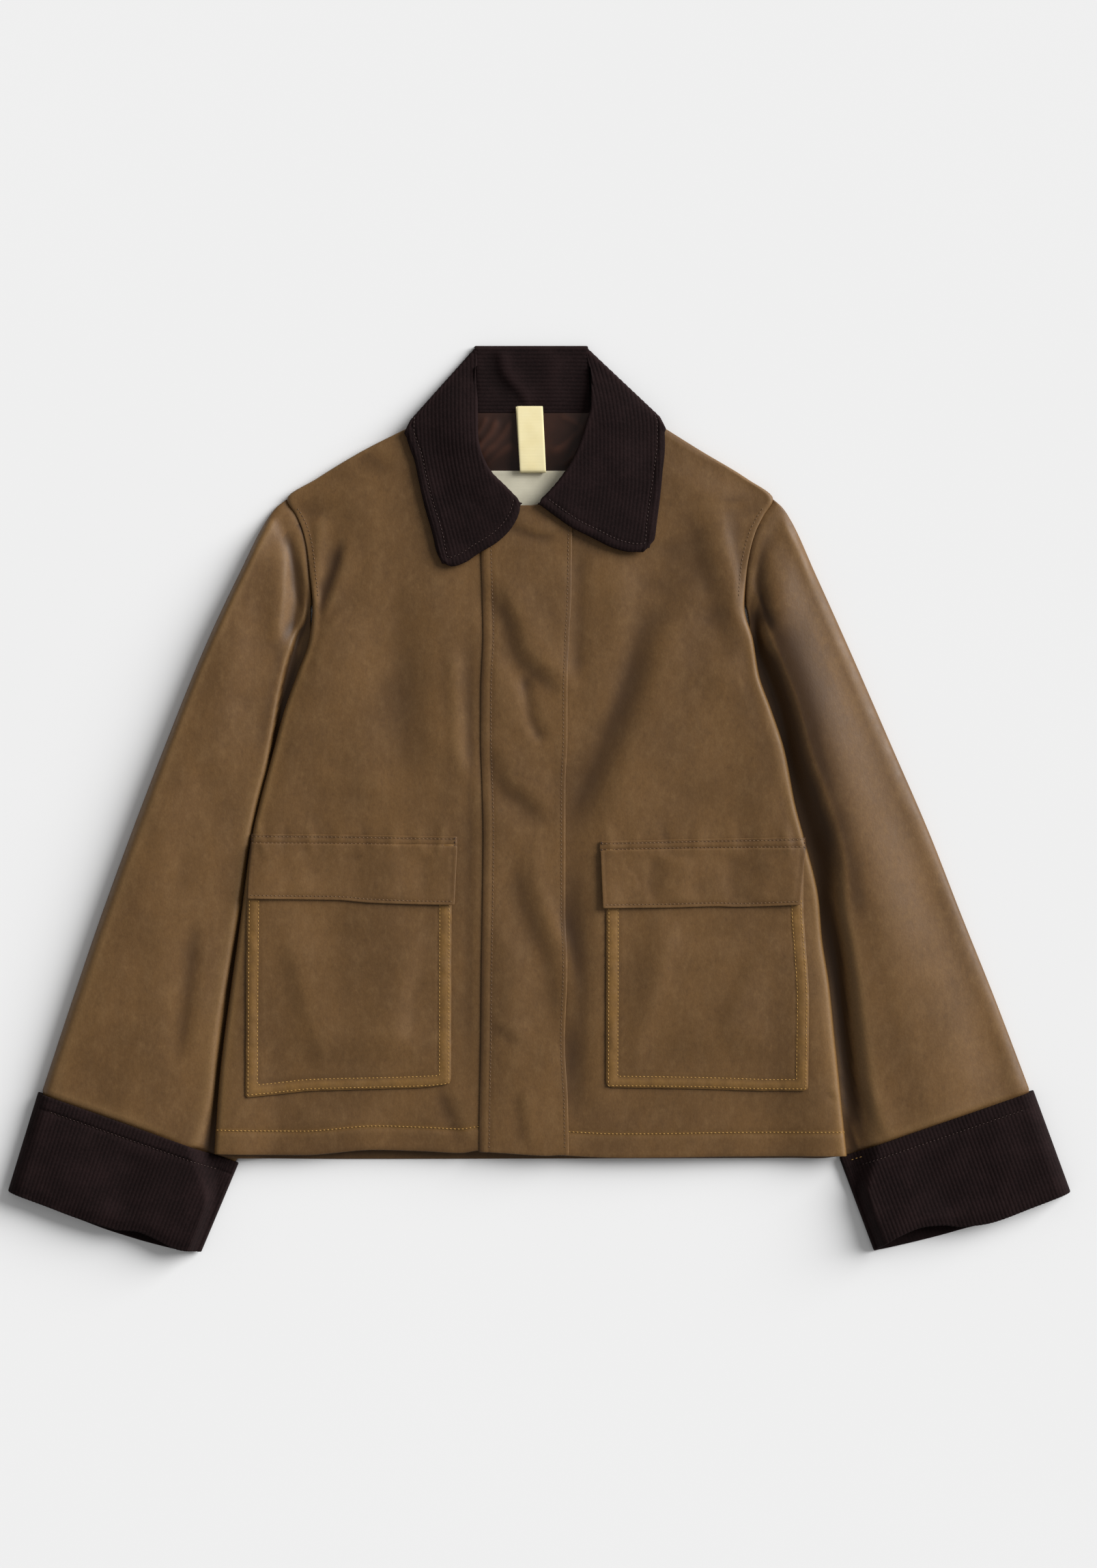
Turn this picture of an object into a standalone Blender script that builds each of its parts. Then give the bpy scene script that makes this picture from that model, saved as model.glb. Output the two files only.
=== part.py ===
"""Waxed cotton jacket with corduroy collar and cuffs, lying closed and flat on its back.

The floor is z = 0, +Y runs up to the collar and +X to the wearer's left. The origin is on the floor under
the middle of the jacket. Lengths in the tables are millimetres and become metres when a mesh is made.
Right and left are the wearer's.
"""
import bmesh
import bpy
import numpy as np

MM = 0.001

# Cloth thickness, seams and clearances
COTTON = 1.6
CORDUROY = 2.2
SATIN = 1.0
TAPE = 1.0
SEAM = 0.5
REST = 0.4
EDGE_RISE = 1.3

# Body
SLEEVE_UNDER_BODY = 5.4
BODY_OVER_SLEEVE = 6.8
BODY_RAMP = (24.0, 48.0)
ARMPIT_RAMP = (157.0, 176.0)
ARMHOLE_SPAN = (166.0, 244.3)
BACK_INSET = 0.8
BACK_HEM = -293.6
BACK_HEM_CORNER = 3.2
HEM_CORNER_REACH = 40.0
EDGE_ROUND = 4.5
PUFF_REACH = 60.0
FOLD_REACH = 30.0
SEAM_REACH = 40.0
DEEPEST_FOLD = 0.6

# Neck
NECK_RAMP = (268.0, 288.0)
STAND_SEAM = 315.6
STAND_TOP = 369.7
STAND_SIDES = ((315.6, -50.0, 42.3), (345.0, -50.2, 40.6), (369.7, -50.6, 37.4))
ROLL_HEIGHT = 6.0
FALL_EDGE = 296.0
LEAF_STANDOFF = 6.6
LEAF_CURL = 2.4
LEAF_RETURN = 6.0
LEAF_ROWS = 11
LEAF_COLUMNS = 7
CURL_STEPS = 3
FLAT_STEP = 0.4
FALL_SPANS = 7
FALL_TOP_DROP = 2.0
FOLD_ANGLES = (60.0, 30.0, 0.0, -30.0, -60.0, -90.0)

# Sleeves
SLEEVE_SIDE = 2.7
SLEEVE_OUTER = 13.0
OUTER_EDGE = 2.2
TOP_POINTS = 14
SEAM_RINGS = 3.0
CUFF_SPANS = 4
CUFF_TUCK = 17.0

# Flaps
FLAP_LIFT = 0.8

# Loop and label on the back neck lining
LOOP_WIDTH = 20.5
LOOP_TOP = 318.9
LOOP_BOTTOM = 266.5
LOOP_SHIFT = (-7.2, -4.6)
LOOP_RISE = 3.3
LOOP_GAP = 3.0
LOOP_BOW = 0.8
LABEL_SPAN = (-39.5, 23.5)
LABEL_ROWS = (267.2, 262.0, 250.0, 237.0, 229.0)
LABEL_LIFT = 0.3

# Top rows of the back, down to its neck points: place, y, x of right, x of left
BACK_NECK = (
    ("stand seam", 314.8, -70.0, 66.0),
    ("neck curve", 309.0, -88.0, 84.0),
    ("neck point", 303.0, -102.6, 98.6),
)

# Back neck lining: y, x of right, x of left
LINING_ROWS = (
    (314.8, -55.0, 50.0),
    (303.0, -64.0, 58.0),
    (288.0, -64.0, 57.0),
    (280.0, -63.0, 56.0),
    (272.0, -61.0, 52.0),
    (262.0, -56.0, 48.0),
    (250.0, -50.0, 42.0),
    (237.0, -42.0, 36.0),
    (222.0, -40.0, 34.0),
)
LINING_COLUMNS = 9

# Side outline of each body panel, from the neck point down: place, y, x of right, x of left
SIDES = (
    ("neck point", 303.0, -107.0, 103.0),
    ("shoulder a", 284.0, -144.4, 133.2),
    ("shoulder b", 261.5, -181.7, 170.6),
    ("shoulder point", 244.2, -206.3, 192.3),
    ("armhole a", 231.0, -198.0, 184.0),
    ("armhole b", 217.4, -192.3, 177.2),
    ("armhole c", 202.4, -189.0, 172.8),
    ("armhole d", 182.9, -186.8, 169.6),
    ("armpit", 157.2, -184.5, 168.2),
    ("ribs a", 129.3, -187.9, 175.6),
    ("ribs b", 100.9, -197.9, 180.5),
    ("ribs c", 70.8, -208.5, 191.0),
    ("waist a", 39.6, -216.9, 201.5),
    ("waist b", -6.1, -229.1, 210.4),
    ("flap top", -31.0, -234.8, 216.9),
    ("flap foot", -83.1, -242.0, 229.3),
    ("hip a", -113.7, -245.9, 231.9),
    ("hip b", -152.2, -251.4, 237.8),
    ("hip c", -197.9, -257.6, 242.5),
    ("hip d", -226.9, -260.9, 245.5),
    ("hem", -293.0, -265.6, 252.2),
)

# Lines that run down each front between its side and its middle: place, y, then x of each line
RIGHT_LINES = (
    ("neck point", 303.0, -102.0, -84.0, -80.0, -76.0),
    ("collar a", 284.0, -133.0, -78.0, -72.0, -66.0),
    ("collar b", 261.5, -163.0, -74.0, -62.0, -52.0),
    ("shoulder point", 244.2, -185.0, -72.0, -54.0, -38.0),
    ("placket top", 237.5, -184.0, -71.0, -46.8, -15.0),
    ("chest", 157.2, -163.0, -69.0, -45.6, -15.0),
    ("ribs", 70.8, -187.0, -68.0, -46.8, -15.0),
    ("waist", -6.1, -216.0, -67.0, -45.2, -15.0),
    ("flap top", -31.0, -233.0, -66.9, -44.7, -15.0),
    ("flap foot", -83.1, -237.3, -70.4, -45.2, -15.0),
    ("pocket foot", -240.0, -238.6, -72.0, -47.6, -15.0),
    ("hem", -293.0, -240.0, -73.0, -48.5, -15.0),
)
LEFT_LINES = (
    ("neck point", 303.0, 98.0, 78.0, 74.0, 70.0),
    ("collar a", 284.0, 123.0, 72.0, 66.0, 58.0),
    ("collar b", 261.5, 153.0, 68.0, 52.0, 42.0),
    ("shoulder point", 244.2, 173.0, 60.0, 38.0, 26.0),
    ("placket top", 237.5, 170.0, 56.0, 27.3, -11.0),
    ("chest", 157.2, 148.0, 52.0, 26.0, -11.0),
    ("ribs", 70.8, 170.0, 51.0, 23.0, -11.0),
    ("waist", -6.1, 197.0, 50.5, 21.4, -11.0),
    ("flap top", -31.0, 215.1, 50.2, 21.2, -11.0),
    ("flap foot", -88.0, 214.8, 54.0, 21.4, -11.0),
    ("pocket foot", -236.0, 219.4, 55.8, 22.6, -11.0),
    ("hem", -293.0, 222.0, 56.0, 24.0, -11.0),
)

# Rows across the fronts, from the neck down: place, spans above it, y at the middle, at the right pocket's
# outer and inner line, at the left pocket's inner and outer line
ROWS = (
    ("neck point", 0, 303.0, 303.0, 303.0, 303.0, 303.0),
    ("collar", 3, 263.0, 263.0, 263.0, 263.0, 263.0),
    ("shoulder point", 1, 244.2, 244.2, 244.2, 244.2, 244.2),
    ("placket top", 1, 237.5, 235.0, 237.0, 237.0, 235.0),
    ("armpit", 5, 157.2, 157.2, 157.2, 157.2, 157.2),
    ("ribs", 4, 88.0, 88.0, 88.0, 88.0, 88.0),
    ("waist", 4, 10.0, 10.0, 10.0, 10.0, 10.0),
    ("band top", 2, -32.5, -29.4, -31.8, -35.7, -32.3),
    ("band foot", 1, -40.0, -36.6, -39.4, -42.9, -40.7),
    ("flap foot", 3, -87.0, -81.4, -86.4, -89.2, -86.6),
    ("pocket foot", 7, -236.0, -243.1, -232.8, -235.3, -238.1),
    ("hem", 3, -289.0, -289.5, -288.5, -291.0, -292.0),
)

# Spans of each front from its side to its middle, and how they crowd towards the side
FRONT_SPANS = {"side": 4, "pocket": 10, "placket side": 2, "placket": 3}
SIDE_CROWDING = 1.7

# Height of the armhole seam above the floor: y, height
ARMHOLE_HEIGHT = ((157.2, 5.0), (170.0, 8.2), (185.0, 9.4), (205.0, 9.6), (228.0, 7.2), (244.2, 4.2))

# Rounding of the side fold: y, height of the round, puff of the front behind it
FRONT_PUFF = (
    (303.0, 1.6, 1.0),
    (284.0, 2.2, 3.0),
    (244.2, 2.6, 5.0),
    (225.0, 0.0, 6.0),
    (180.0, 0.0, 7.0),
    (150.0, 4.5, 6.5),
    (0.0, 4.5, 6.0),
    (-240.0, 4.5, 4.5),
    (-293.0, 3.5, 3.5),
)

# Folds of the fronts: place, points, half width, height (a trough is below zero)
FRONT_FOLDS = (
    ("right chest roll", ((-144, 228), (-161, 189), (-176, 150), (-178, 118)), 9.0, 2.6),
    ("right chest crease", ((-160, 224), (-170, 196), (-181, 168)), 5.0, -1.6),
    ("right ridge by the side", ((-128, 195), (-130, 94), (-139, -6)), 15.0, 1.8),
    ("right long trough", ((-100, 206), (-91, 122), (-97, 11)), 13.0, -2.2),
    ("right ridge by the placket", ((-66, 189), (-67, 94), (-72, -17)), 10.0, 1.8),
    ("right hip swell", ((-150, -120), (-152, -215)), 48.0, 1.8),
    ("placket fold a", ((-35, 183), (-18, 143), (-1, 108), (16, 95)), 6.0, -1.8),
    ("placket fold b", ((-11, 87), (-3, 63), (6, 45)), 6.0, -1.4),
    ("placket fold c", ((-15, 12), (18, -19)), 6.0, -1.4),
    ("placket fold d", ((-18, -51), (-6, -95), (13, -132), (19, -165)), 6.0, -1.5),
    ("placket swell", ((-12, -150), (-14, -240)), 14.0, 1.6),
    ("left ridge by the placket", ((62, 200), (61, 94)), 11.0, 1.8),
    ("left long trough", ((101, 157), (70, 81), (40, 5), (31, -56), (37, -157), (39, -262)), 10.0, -2.8),
    ("left chest swell", ((150, 133), (138, 66), (118, 0)), 28.0, 2.2),
    ("left armpit crease", ((150, 200), (158, 165), (152, 140)), 6.0, -1.4),
    ("left hip swell", ((140, -120), (142, -215)), 46.0, 1.8),
)

# Sleeve rings: place, spans above it, outer x, outer y, inner x, inner y, height of the crown
RIGHT_SLEEVE = (
    ("armhole", 0, -206.3, 244.2, -184.5, 157.2, 8.5),
    ("shoulder bend", 1, -213.6, 239.4, -186.6, 155.6, 8.5),
    ("sleeve head", 1, -222.4, 228.0, -185.6, 136.0, 12.0),
    ("upper arm", 2, -245.3, 183.4, -188.5, 84.0, 16.0),
    ("arm", 2, -271.5, 127.7, -200.5, 34.0, 18.0),
    ("elbow a", 3, -307.7, 38.5, -218.0, -46.0, 18.0),
    ("elbow b", 2, -333.4, -28.4, -225.8, -105.0, 17.5),
    ("forearm a", 2, -357.9, -95.3, -233.5, -160.0, 17.0),
    ("forearm b", 2, -380.8, -162.2, -241.0, -222.0, 16.5),
    ("cuff seam", 3, -406.9, -240.9, -246.2, -297.5, 15.0),
)
LEFT_SLEEVE = (
    ("armhole", 0, 192.3, 244.2, 168.2, 157.2, 8.5),
    ("shoulder bend", 1, 198.4, 239.4, 170.2, 155.6, 8.5),
    ("sleeve head", 1, 206.3, 228.0, 172.0, 136.0, 12.0),
    ("upper arm", 2, 226.9, 183.4, 170.5, 84.0, 16.0),
    ("arm", 2, 252.0, 127.7, 185.0, 34.0, 18.0),
    ("elbow a", 3, 291.0, 38.5, 203.0, -46.0, 18.0),
    ("elbow b", 2, 320.0, -28.4, 212.0, -105.0, 17.5),
    ("forearm a", 2, 346.2, -95.3, 220.0, -160.0, 17.0),
    ("forearm b", 2, 373.0, -162.2, 226.5, -222.0, 16.5),
    ("cuff seam", 3, 402.6, -240.0, 246.6, -293.2, 15.0),
)

# Folds of the sleeves: place, points, half width, height
RIGHT_SLEEVE_FOLDS = (
    ("valley by the armhole", ((-200, 222), (-199, 198), (-197, 172)), 5.0, -1.6),
    ("long ridge", ((-216, 150), (-222, 95), (-236, 30)), 8.0, 1.5),
    ("elbow hollow", ((-275, 20), (-290, -60)), 16.0, -1.5),
    ("forearm fold", ((-276, -107), (-288, -224)), 7.0, -1.6),
    ("forearm ridge", ((-340, -120), (-372, -220)), 14.0, 1.2),
)
LEFT_SLEEVE_FOLDS = (
    ("valley by the body", ((182, 178), (200, 130), (218, 90), (240, 20)), 8.0, -1.8),
    ("long ridge", ((205, 205), (232, 120), (262, 30)), 9.0, 1.4),
    ("elbow hollow", ((262, -20), (285, -110)), 15.0, -1.6),
    ("forearm ridge", ((350, -120), (380, -225)), 12.0, 1.4),
)

# Cuffs: corner points of the flat band, x and y
RIGHT_CUFF = {"top": ((-245.3, -298.8), (-409.8, -240.8)), "foot": ((-275.4, -370.7), (-434.3, -320.0))}
LEFT_CUFF = {"top": ((245.9, -294.4), (405.3, -239.2)), "foot": ((273.7, -369.6), (435.4, -320.6))}
CUFF_HEIGHTS = (15.5, 16.5)

# Foot of each cuff: share of the width from the inner corner, bow of the upper and of the under layer
RIGHT_CUFF_FOOT = (
    (0.00, 0.0, 0.0),
    (0.12, 3.4, 4.3),
    (0.30, -0.9, 6.0),
    (0.44, 3.3, 6.1),
    (0.61, 3.2, 4.8),
    (1.00, 0.0, 0.0),
)
LEFT_CUFF_FOOT = (
    (0.00, 0.0, 0.0),
    (0.10, -4.6, 1.6),
    (0.30, -6.6, 3.2),
    (0.44, 3.0, 4.0),
    (0.60, 4.9, 5.0),
    (1.00, 0.0, 0.0),
)

# Leaf outlines as seen: roll line from the corner to the front, and free edge from the fold to the front
RIGHT_LEAF_ROLL = (
    (-54.4, 366.0), (-51.6, 326.0), (-50.7, 295.0), (-46.3, 278.2),
    (-39.0, 264.8), (-27.0, 253.3), (-14.0, 241.5),
)
RIGHT_LEAF_EDGE = (
    (-105.4, 310.0), (-107.8, 298.0), (-101.5, 275.4), (-94.2, 241.4),
    (-86.4, 214.1), (-83.6, 200.7), (-72.5, 189.2),
)
RIGHT_LEAF_FRONT = (
    (-14.0, 240.5), (-15.1, 232.5), (-21.2, 220.2), (-32.9, 208.5),
    (-49.6, 198.5), (-72.5, 189.2),
)
LEFT_LEAF_ROLL = (
    (42.4, 366.0), (42.6, 334.0), (43.4, 318.9), (35.7, 292.1),
    (29.5, 277.1), (22.3, 264.8), (0.6, 240.7),
)
LEFT_LEAF_EDGE = (
    (99.8, 312.8), (103.4, 300.0), (103.7, 288.8), (101.5, 264.8),
    (99.2, 244.2), (95.3, 211.3), (85.3, 200.1),
)
LEFT_LEAF_FRONT = (
    (0.6, 239.7), (10.6, 231.4), (26.8, 220.2), (44.6, 211.3),
    (66.0, 202.0), (85.3, 200.1),
)

# Colours and finish: name, sRGB colour, roughness
FINISHES = {
    "waxed_cotton": ((0.40, 0.31, 0.22), 0.62),
    "corduroy": ((0.13, 0.09, 0.08), 0.85),
    "satin": ((0.20, 0.12, 0.09), 0.45),
    "tape": ((0.85, 0.80, 0.60), 0.80),
    "label_cloth": ((0.80, 0.78, 0.70), 0.75),
}


def smooth(value):
    """Ease from 0 to 1."""
    value = np.clip(value, 0.0, 1.0)
    return value * value * (3.0 - 2.0 * value)


def arc(value):
    """Quarter round from 0 to 1."""
    return np.sqrt(1.0 - (1.0 - np.clip(value, 0.0, 1.0)) ** 2)


def read(table, place, column, key=1):
    """Value of one column of a table whose key column falls or rises steadily."""
    keys = np.array([row[key] for row in table], dtype=float)
    values = np.array([row[column] for row in table], dtype=float)
    order = np.argsort(keys)
    return np.interp(place, keys[order], values[order])


def along(points, share):
    """Points at shares of the length of a line."""
    points = np.array(points, dtype=float)
    steps = np.linalg.norm(np.diff(points, axis=0), axis=1)
    lengths = np.concatenate(([0.0], np.cumsum(steps))) / steps.sum()
    return np.stack([np.interp(share, lengths, points[:, axis]) for axis in (0, 1)], axis=-1)


def fold_height(folds, x, y):
    """Sum of soft troughs and ridges that lie along lines and fade at their ends."""
    total = np.zeros(np.shape(x))
    for _, line, half_width, height in folds:
        share = np.linspace(0.0, 1.0, 25)
        spine = along(line, share)
        away = (x[..., None] - spine[:, 0]) ** 2 + (y[..., None] - spine[:, 1]) ** 2
        near = np.argmin(away, axis=-1)
        closeness = np.exp(-np.min(away, axis=-1) / half_width ** 2)
        fade = smooth(1.15 - np.abs(share[near] * 2.0 - 1.0) * 0.9)
        total = total + height * closeness * fade
    return total


def side_x(y, wearer):
    """X of the side outline at a height on the body; wearer is right or left."""
    return read(SIDES, y, 2 if wearer == "right" else 3)


def inside(x, y):
    """Distance in from the nearer side outline."""
    return np.minimum(x - side_x(y, "right"), side_x(y, "left") - x)


def back_under(x, y):
    """Height of the underside of the back: up over the sleeves' margins and over the collar's fall."""
    start, end = BODY_RAMP
    margin = 1.0 - smooth((inside(x, y) - start) / (end - start))
    foot, head = ARMPIT_RAMP
    over_sleeve = BODY_OVER_SLEEVE * margin * smooth((head - y) / (head - foot))
    low, high = NECK_RAMP
    over_fall = (CORDUROY + REST) * smooth((y - low) / (high - low))
    return np.maximum(over_sleeve, over_fall)


def back_top(x, y):
    return back_under(x, y) + COTTON


def front_top(x, y):
    """Height of the outside of the fronts."""
    depth = np.maximum(inside(x, y), 0.0)
    base = back_top(x, y) + EDGE_RISE
    armhole = np.array(ARMHOLE_HEIGHT)
    seam = np.interp(y, armhole[:, 0], armhole[:, 1], left=0.0, right=0.0)
    at_armhole = seam * ((y > ARMHOLE_SPAN[0]) & (y < ARMHOLE_SPAN[1]))
    edge = np.maximum(base, at_armhole)
    round_height = read(FRONT_PUFF, y, 1, key=0)
    puff = read(FRONT_PUFF, y, 2, key=0)
    rise = round_height * arc(depth / EDGE_ROUND) + puff * smooth(depth / PUFF_REACH)
    settle = smooth(depth / FOLD_REACH)
    folds = fold_height(FRONT_FOLDS, x, y) * settle
    plain = edge + (base - edge) * smooth(depth / SEAM_REACH) + rise
    return plain + np.maximum(folds, -DEEPEST_FOLD * rise)


def rows_of(table, column, counts=1):
    """One column of a table, with the spans between its rows filled in evenly."""
    values = [table[0][column]]
    for before, row in zip(table, table[1:]):
        spans = row[counts]
        for step in range(1, spans + 1):
            values.append(before[column] + (row[column] - before[column]) * step / spans)
    return np.array(values)


def row_index(name, table=ROWS, counts=1):
    """Place of a named row once the spans are filled in."""
    total = 0
    for row in table:
        total += row[counts]
        if row[0] == name:
            return total
    raise KeyError(name)


def spread(start, end, spans, power=1.0):
    """Values between two lines of points, the first left in and the last left out."""
    shares = (np.arange(spans) / spans) ** power
    return start[:, None] + (end - start)[:, None] * shares


def front_grid(wearer):
    """X and Y of a front panel's points, rows from the neck down, columns along +X."""
    lines, outer, inner = (RIGHT_LINES, 3, 4) if wearer == "right" else (LEFT_LINES, 6, 5)
    middle_y = rows_of(ROWS, 2)
    outer_y = rows_of(ROWS, outer)
    inner_y = rows_of(ROWS, inner)
    guides_y = (outer_y, outer_y, inner_y, middle_y, middle_y)
    guides_x = [side_x(outer_y, wearer)]
    for column, place in zip((2, 3, 4, 5), guides_y[1:]):
        guides_x.append(read(lines, place, column))
    spans = (FRONT_SPANS["side"], FRONT_SPANS["pocket"], FRONT_SPANS["placket side"], FRONT_SPANS["placket"])
    powers = (SIDE_CROWDING, 1.0, 1.0, 1.0)
    x = [spread(guides_x[i], guides_x[i + 1], spans[i], powers[i]) for i in range(4)]
    y = [spread(guides_y[i], guides_y[i + 1], spans[i], powers[i]) for i in range(4)]
    x = np.concatenate(x + [guides_x[4][:, None]], axis=1)
    y = np.concatenate(y + [guides_y[4][:, None]], axis=1)
    if wearer == "left":
        x, y = x[:, ::-1], y[:, ::-1]
    return x, y


def surface(x, y, z):
    return np.stack((x, y, z), axis=-1)


def moved_out(points, distance):
    """Points pushed out from their surface, square to it and upwards."""
    across = np.gradient(points, axis=1)
    down = np.gradient(points, axis=0)
    normal = np.cross(across, down)
    normal = normal / np.linalg.norm(normal, axis=-1, keepdims=True)
    normal = normal * np.where(normal[..., 2:3] < 0.0, -1.0, 1.0)
    return points + normal * distance


def finish_material(name):
    """Principled material with one colour of the jacket."""
    colour, roughness = FINISHES[name]
    material = bpy.data.materials.get(name) or bpy.data.materials.new(name)
    material.use_nodes = True
    shader = material.node_tree.nodes["Principled BSDF"]
    linear = [channel ** 2.2 for channel in colour]
    shader.inputs["Base Color"].default_value = (*linear, 1.0)
    shader.inputs["Roughness"].default_value = roughness
    shader.inputs["Metallic"].default_value = 0.0
    material.diffuse_color = (*linear, 1.0)
    return material


def cloth(name, points, wall, finish, tube=False, top=None):
    """Wall of cloth on a grid of outside points; top is the row and column of one that faces up.

    A tube's last column meets its first.
    """
    rows, columns = points.shape[:2]
    top = top or (rows // 2, columns // 2)
    shape = bmesh.new()
    bmesh.ops.create_grid(shape, x_segments=columns - 1, y_segments=rows - 1, size=1.0)
    for vert in shape.verts:
        column = round((vert.co.x + 1.0) * 0.5 * (columns - 1))
        row = round((vert.co.y + 1.0) * 0.5 * (rows - 1))
        vert.co = points[row, column] * MM
        if (row, column) == top:
            upward = vert
    if tube:
        bmesh.ops.remove_doubles(shape, verts=shape.verts, dist=0.00001)
    bmesh.ops.triangulate(shape, faces=shape.faces, quad_method="FIXED")
    shape.normal_update()
    if upward.normal.z < 0.0:
        bmesh.ops.reverse_faces(shape, faces=shape.faces)
    mesh = bpy.data.meshes.new(name)
    shape.to_mesh(mesh)
    shape.free()
    mesh.shade_smooth()
    mesh.materials.append(finish_material(finish))
    piece = bpy.data.objects.new(name, mesh)
    bpy.data.collections["waxed_cotton_jacket"].objects.link(piece)
    solid = piece.modifiers.new("wall", "SOLIDIFY")
    solid.thickness = wall * MM
    solid.offset = -1.0
    solid.use_even_offset = False
    return piece


def make_back():
    neck = np.array([row[1:] for row in BACK_NECK])
    rows_below = rows_of(ROWS, 2)[1:]
    y = np.concatenate((neck[:, 0], rows_below))
    right = np.concatenate((neck[:, 1], side_x(rows_below, "right") + BACK_INSET))
    left = np.concatenate((neck[:, 2], side_x(rows_below, "left") - BACK_INSET))
    start, end = BODY_RAMP
    middle = (end + start) / 2.0
    guides = (right, right + start, right + middle, right + end,
              left - end, left - middle, left - start, left)
    spans = (1, 1, 1, 5, 1, 1, 1)
    x = [spread(guides[i], guides[i + 1], spans[i]) for i in range(7)] + [guides[7][:, None]]
    x = np.concatenate(x, axis=1)
    y = np.repeat(y[:, None], x.shape[1], axis=1)
    y[-1] = BACK_HEM + BACK_HEM_CORNER * smooth(1.0 - inside(x[-1], y[-1]) / HEM_CORNER_REACH)
    points = surface(x, y, back_top(x, y))
    cloth("back", points, COTTON, "waxed_cotton")


def make_fronts():
    """Both fronts, and the grids that the pieces on them start from."""
    grids = {}
    for wearer in ("right", "left"):
        x, y = front_grid(wearer)
        points = surface(x, y, front_top(x, y))
        grids[wearer] = points
        cloth("front_" + wearer, points, COTTON, "waxed_cotton")
    return grids


def make_placket(grids):
    columns = FRONT_SPANS["placket"] + 1
    first = row_index("placket top")
    right = moved_out(grids["right"], REST + COTTON)[first:, -columns:]
    left = moved_out(grids["left"], REST + COTTON)[first:, :columns]
    points = np.concatenate((right, left), axis=1)
    cloth("placket", points, COTTON, "waxed_cotton")


def make_pockets(grids):
    """Patch pocket, the band sewn over its top and the flap that hangs from the band, on each front."""
    start = FRONT_SPANS["side"]
    end = start + FRONT_SPANS["pocket"] + 1
    total = sum(FRONT_SPANS.values()) + 1
    pocket_columns = {"right": slice(start, end), "left": slice(total - end, total - start)}
    top, band_foot = row_index("band top"), row_index("band foot")
    flap_foot, foot = row_index("flap foot"), row_index("pocket foot")
    layer = REST + COTTON
    for wearer in ("right", "left"):
        first = moved_out(grids[wearer], layer)[:, pocket_columns[wearer]]
        second = moved_out(grids[wearer], 2.0 * layer)[:, pocket_columns[wearer]]
        pocket = first[band_foot:foot + 1].copy()
        pocket[0, :, 1] -= SEAM
        cloth("pocket_" + wearer, pocket, COTTON, "waxed_cotton")
        band = first[top:band_foot + 1]
        cloth("band_" + wearer, band, COTTON, "waxed_cotton")
        flap = second[band_foot:flap_foot + 1].copy()
        flap[-1, :, 2] += FLAP_LIFT
        cloth("flap_" + wearer, flap, COTTON, "waxed_cotton")


def tube_section(inner, outer, height, tuck):
    """Outside points round a flat-lying tube: its inner edge, over the top, its outer edge, back below."""
    inner = np.array(inner, dtype=float)
    outer = np.array(outer, dtype=float)
    width = np.linalg.norm(outer - inner)
    bend = max(tuck, 14.0)
    near = np.array([0.0, 0.7, SLEEVE_SIDE, 8.0, bend, bend + 8.0, bend + 18.0, bend + 32.0])
    near = near * min(1.0, 0.42 * width / near[-1])
    far = width * np.array([0.55, 0.7, 0.84, 0.925, 0.975, 1.0])
    over = np.concatenate((near, far))
    crown = SLEEVE_UNDER_BODY + (height - SLEEVE_UNDER_BODY) * smooth((over - tuck - 1.0) / 30.0)
    rise = 0.5 + 0.5 * arc(over / SLEEVE_SIDE)
    fall = arc((width - over) / SLEEVE_OUTER)
    over_z = OUTER_EDGE + (crown * rise - OUTER_EDGE) * fall
    below = np.array([width - 0.7, width - 2.6, width * 0.7, width * 0.35, SLEEVE_SIDE, 0.7])
    below_z = np.array([0.6, 0.0, 0.0, 0.0, 0.0, 0.9])
    shares = np.concatenate((over, below, over[:1])) / width
    heights = np.concatenate((over_z, below_z, over_z[:1]))
    flat = inner + (outer - inner) * shares[:, None]
    return np.concatenate((flat, heights[:, None]), axis=1)


def outside_body(x, y, wearer):
    """Distance out from the body's side outline."""
    away = side_x(y, wearer) - x
    return away if wearer == "right" else -away


def make_sleeve(wearer):
    table = RIGHT_SLEEVE if wearer == "right" else LEFT_SLEEVE
    folds = RIGHT_SLEEVE_FOLDS if wearer == "right" else LEFT_SLEEVE_FOLDS
    outer_x, outer_y, inner_x, inner_y, height = [rows_of(table, column) for column in (2, 3, 4, 5, 6)]
    tuck = np.maximum(0.0, -outside_body(inner_x, inner_y, wearer)) + 2.0
    armhole = np.array(ARMHOLE_HEIGHT)
    rings = []
    for index in range(len(height)):
        ring = tube_section((inner_x[index], inner_y[index]), (outer_x[index], outer_y[index]),
                            height[index], tuck[index])
        follow = max(0.0, 1.0 - index / SEAM_RINGS)
        seam_y = np.clip(ring[:, 1] + outer_y[0] - outer_y[index], inner_y[0], outer_y[0])
        chord_x = np.interp(seam_y, (inner_y[0], outer_y[0]), (inner_x[0], outer_x[0]))
        ring[:, 0] += (side_x(seam_y, wearer) - chord_x) * follow
        seam_z = np.interp(seam_y, armhole[:, 0], armhole[:, 1])
        over = slice(2, TOP_POINTS - 1)
        blend = smooth(index / SEAM_RINGS)
        ring[over, 2] = ring[over, 2] * blend + seam_z[over] * (1.0 - blend)
        rings.append(ring)
    points = np.array(rings)
    points[0, :, 0] += -SEAM if wearer == "right" else SEAM
    over = points[:, 2:TOP_POINTS - 1]
    settle = smooth(outside_body(over[..., 0], over[..., 1], wearer) / 10.0)
    settle = settle * smooth(np.arange(len(points)) / SEAM_RINGS)[:, None]
    over[..., 2] += fold_height(folds, over[..., 0], over[..., 1]) * settle
    cloth("sleeve_" + wearer, points, COTTON, "waxed_cotton", tube=True, top=(len(points) // 2, 7))


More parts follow.
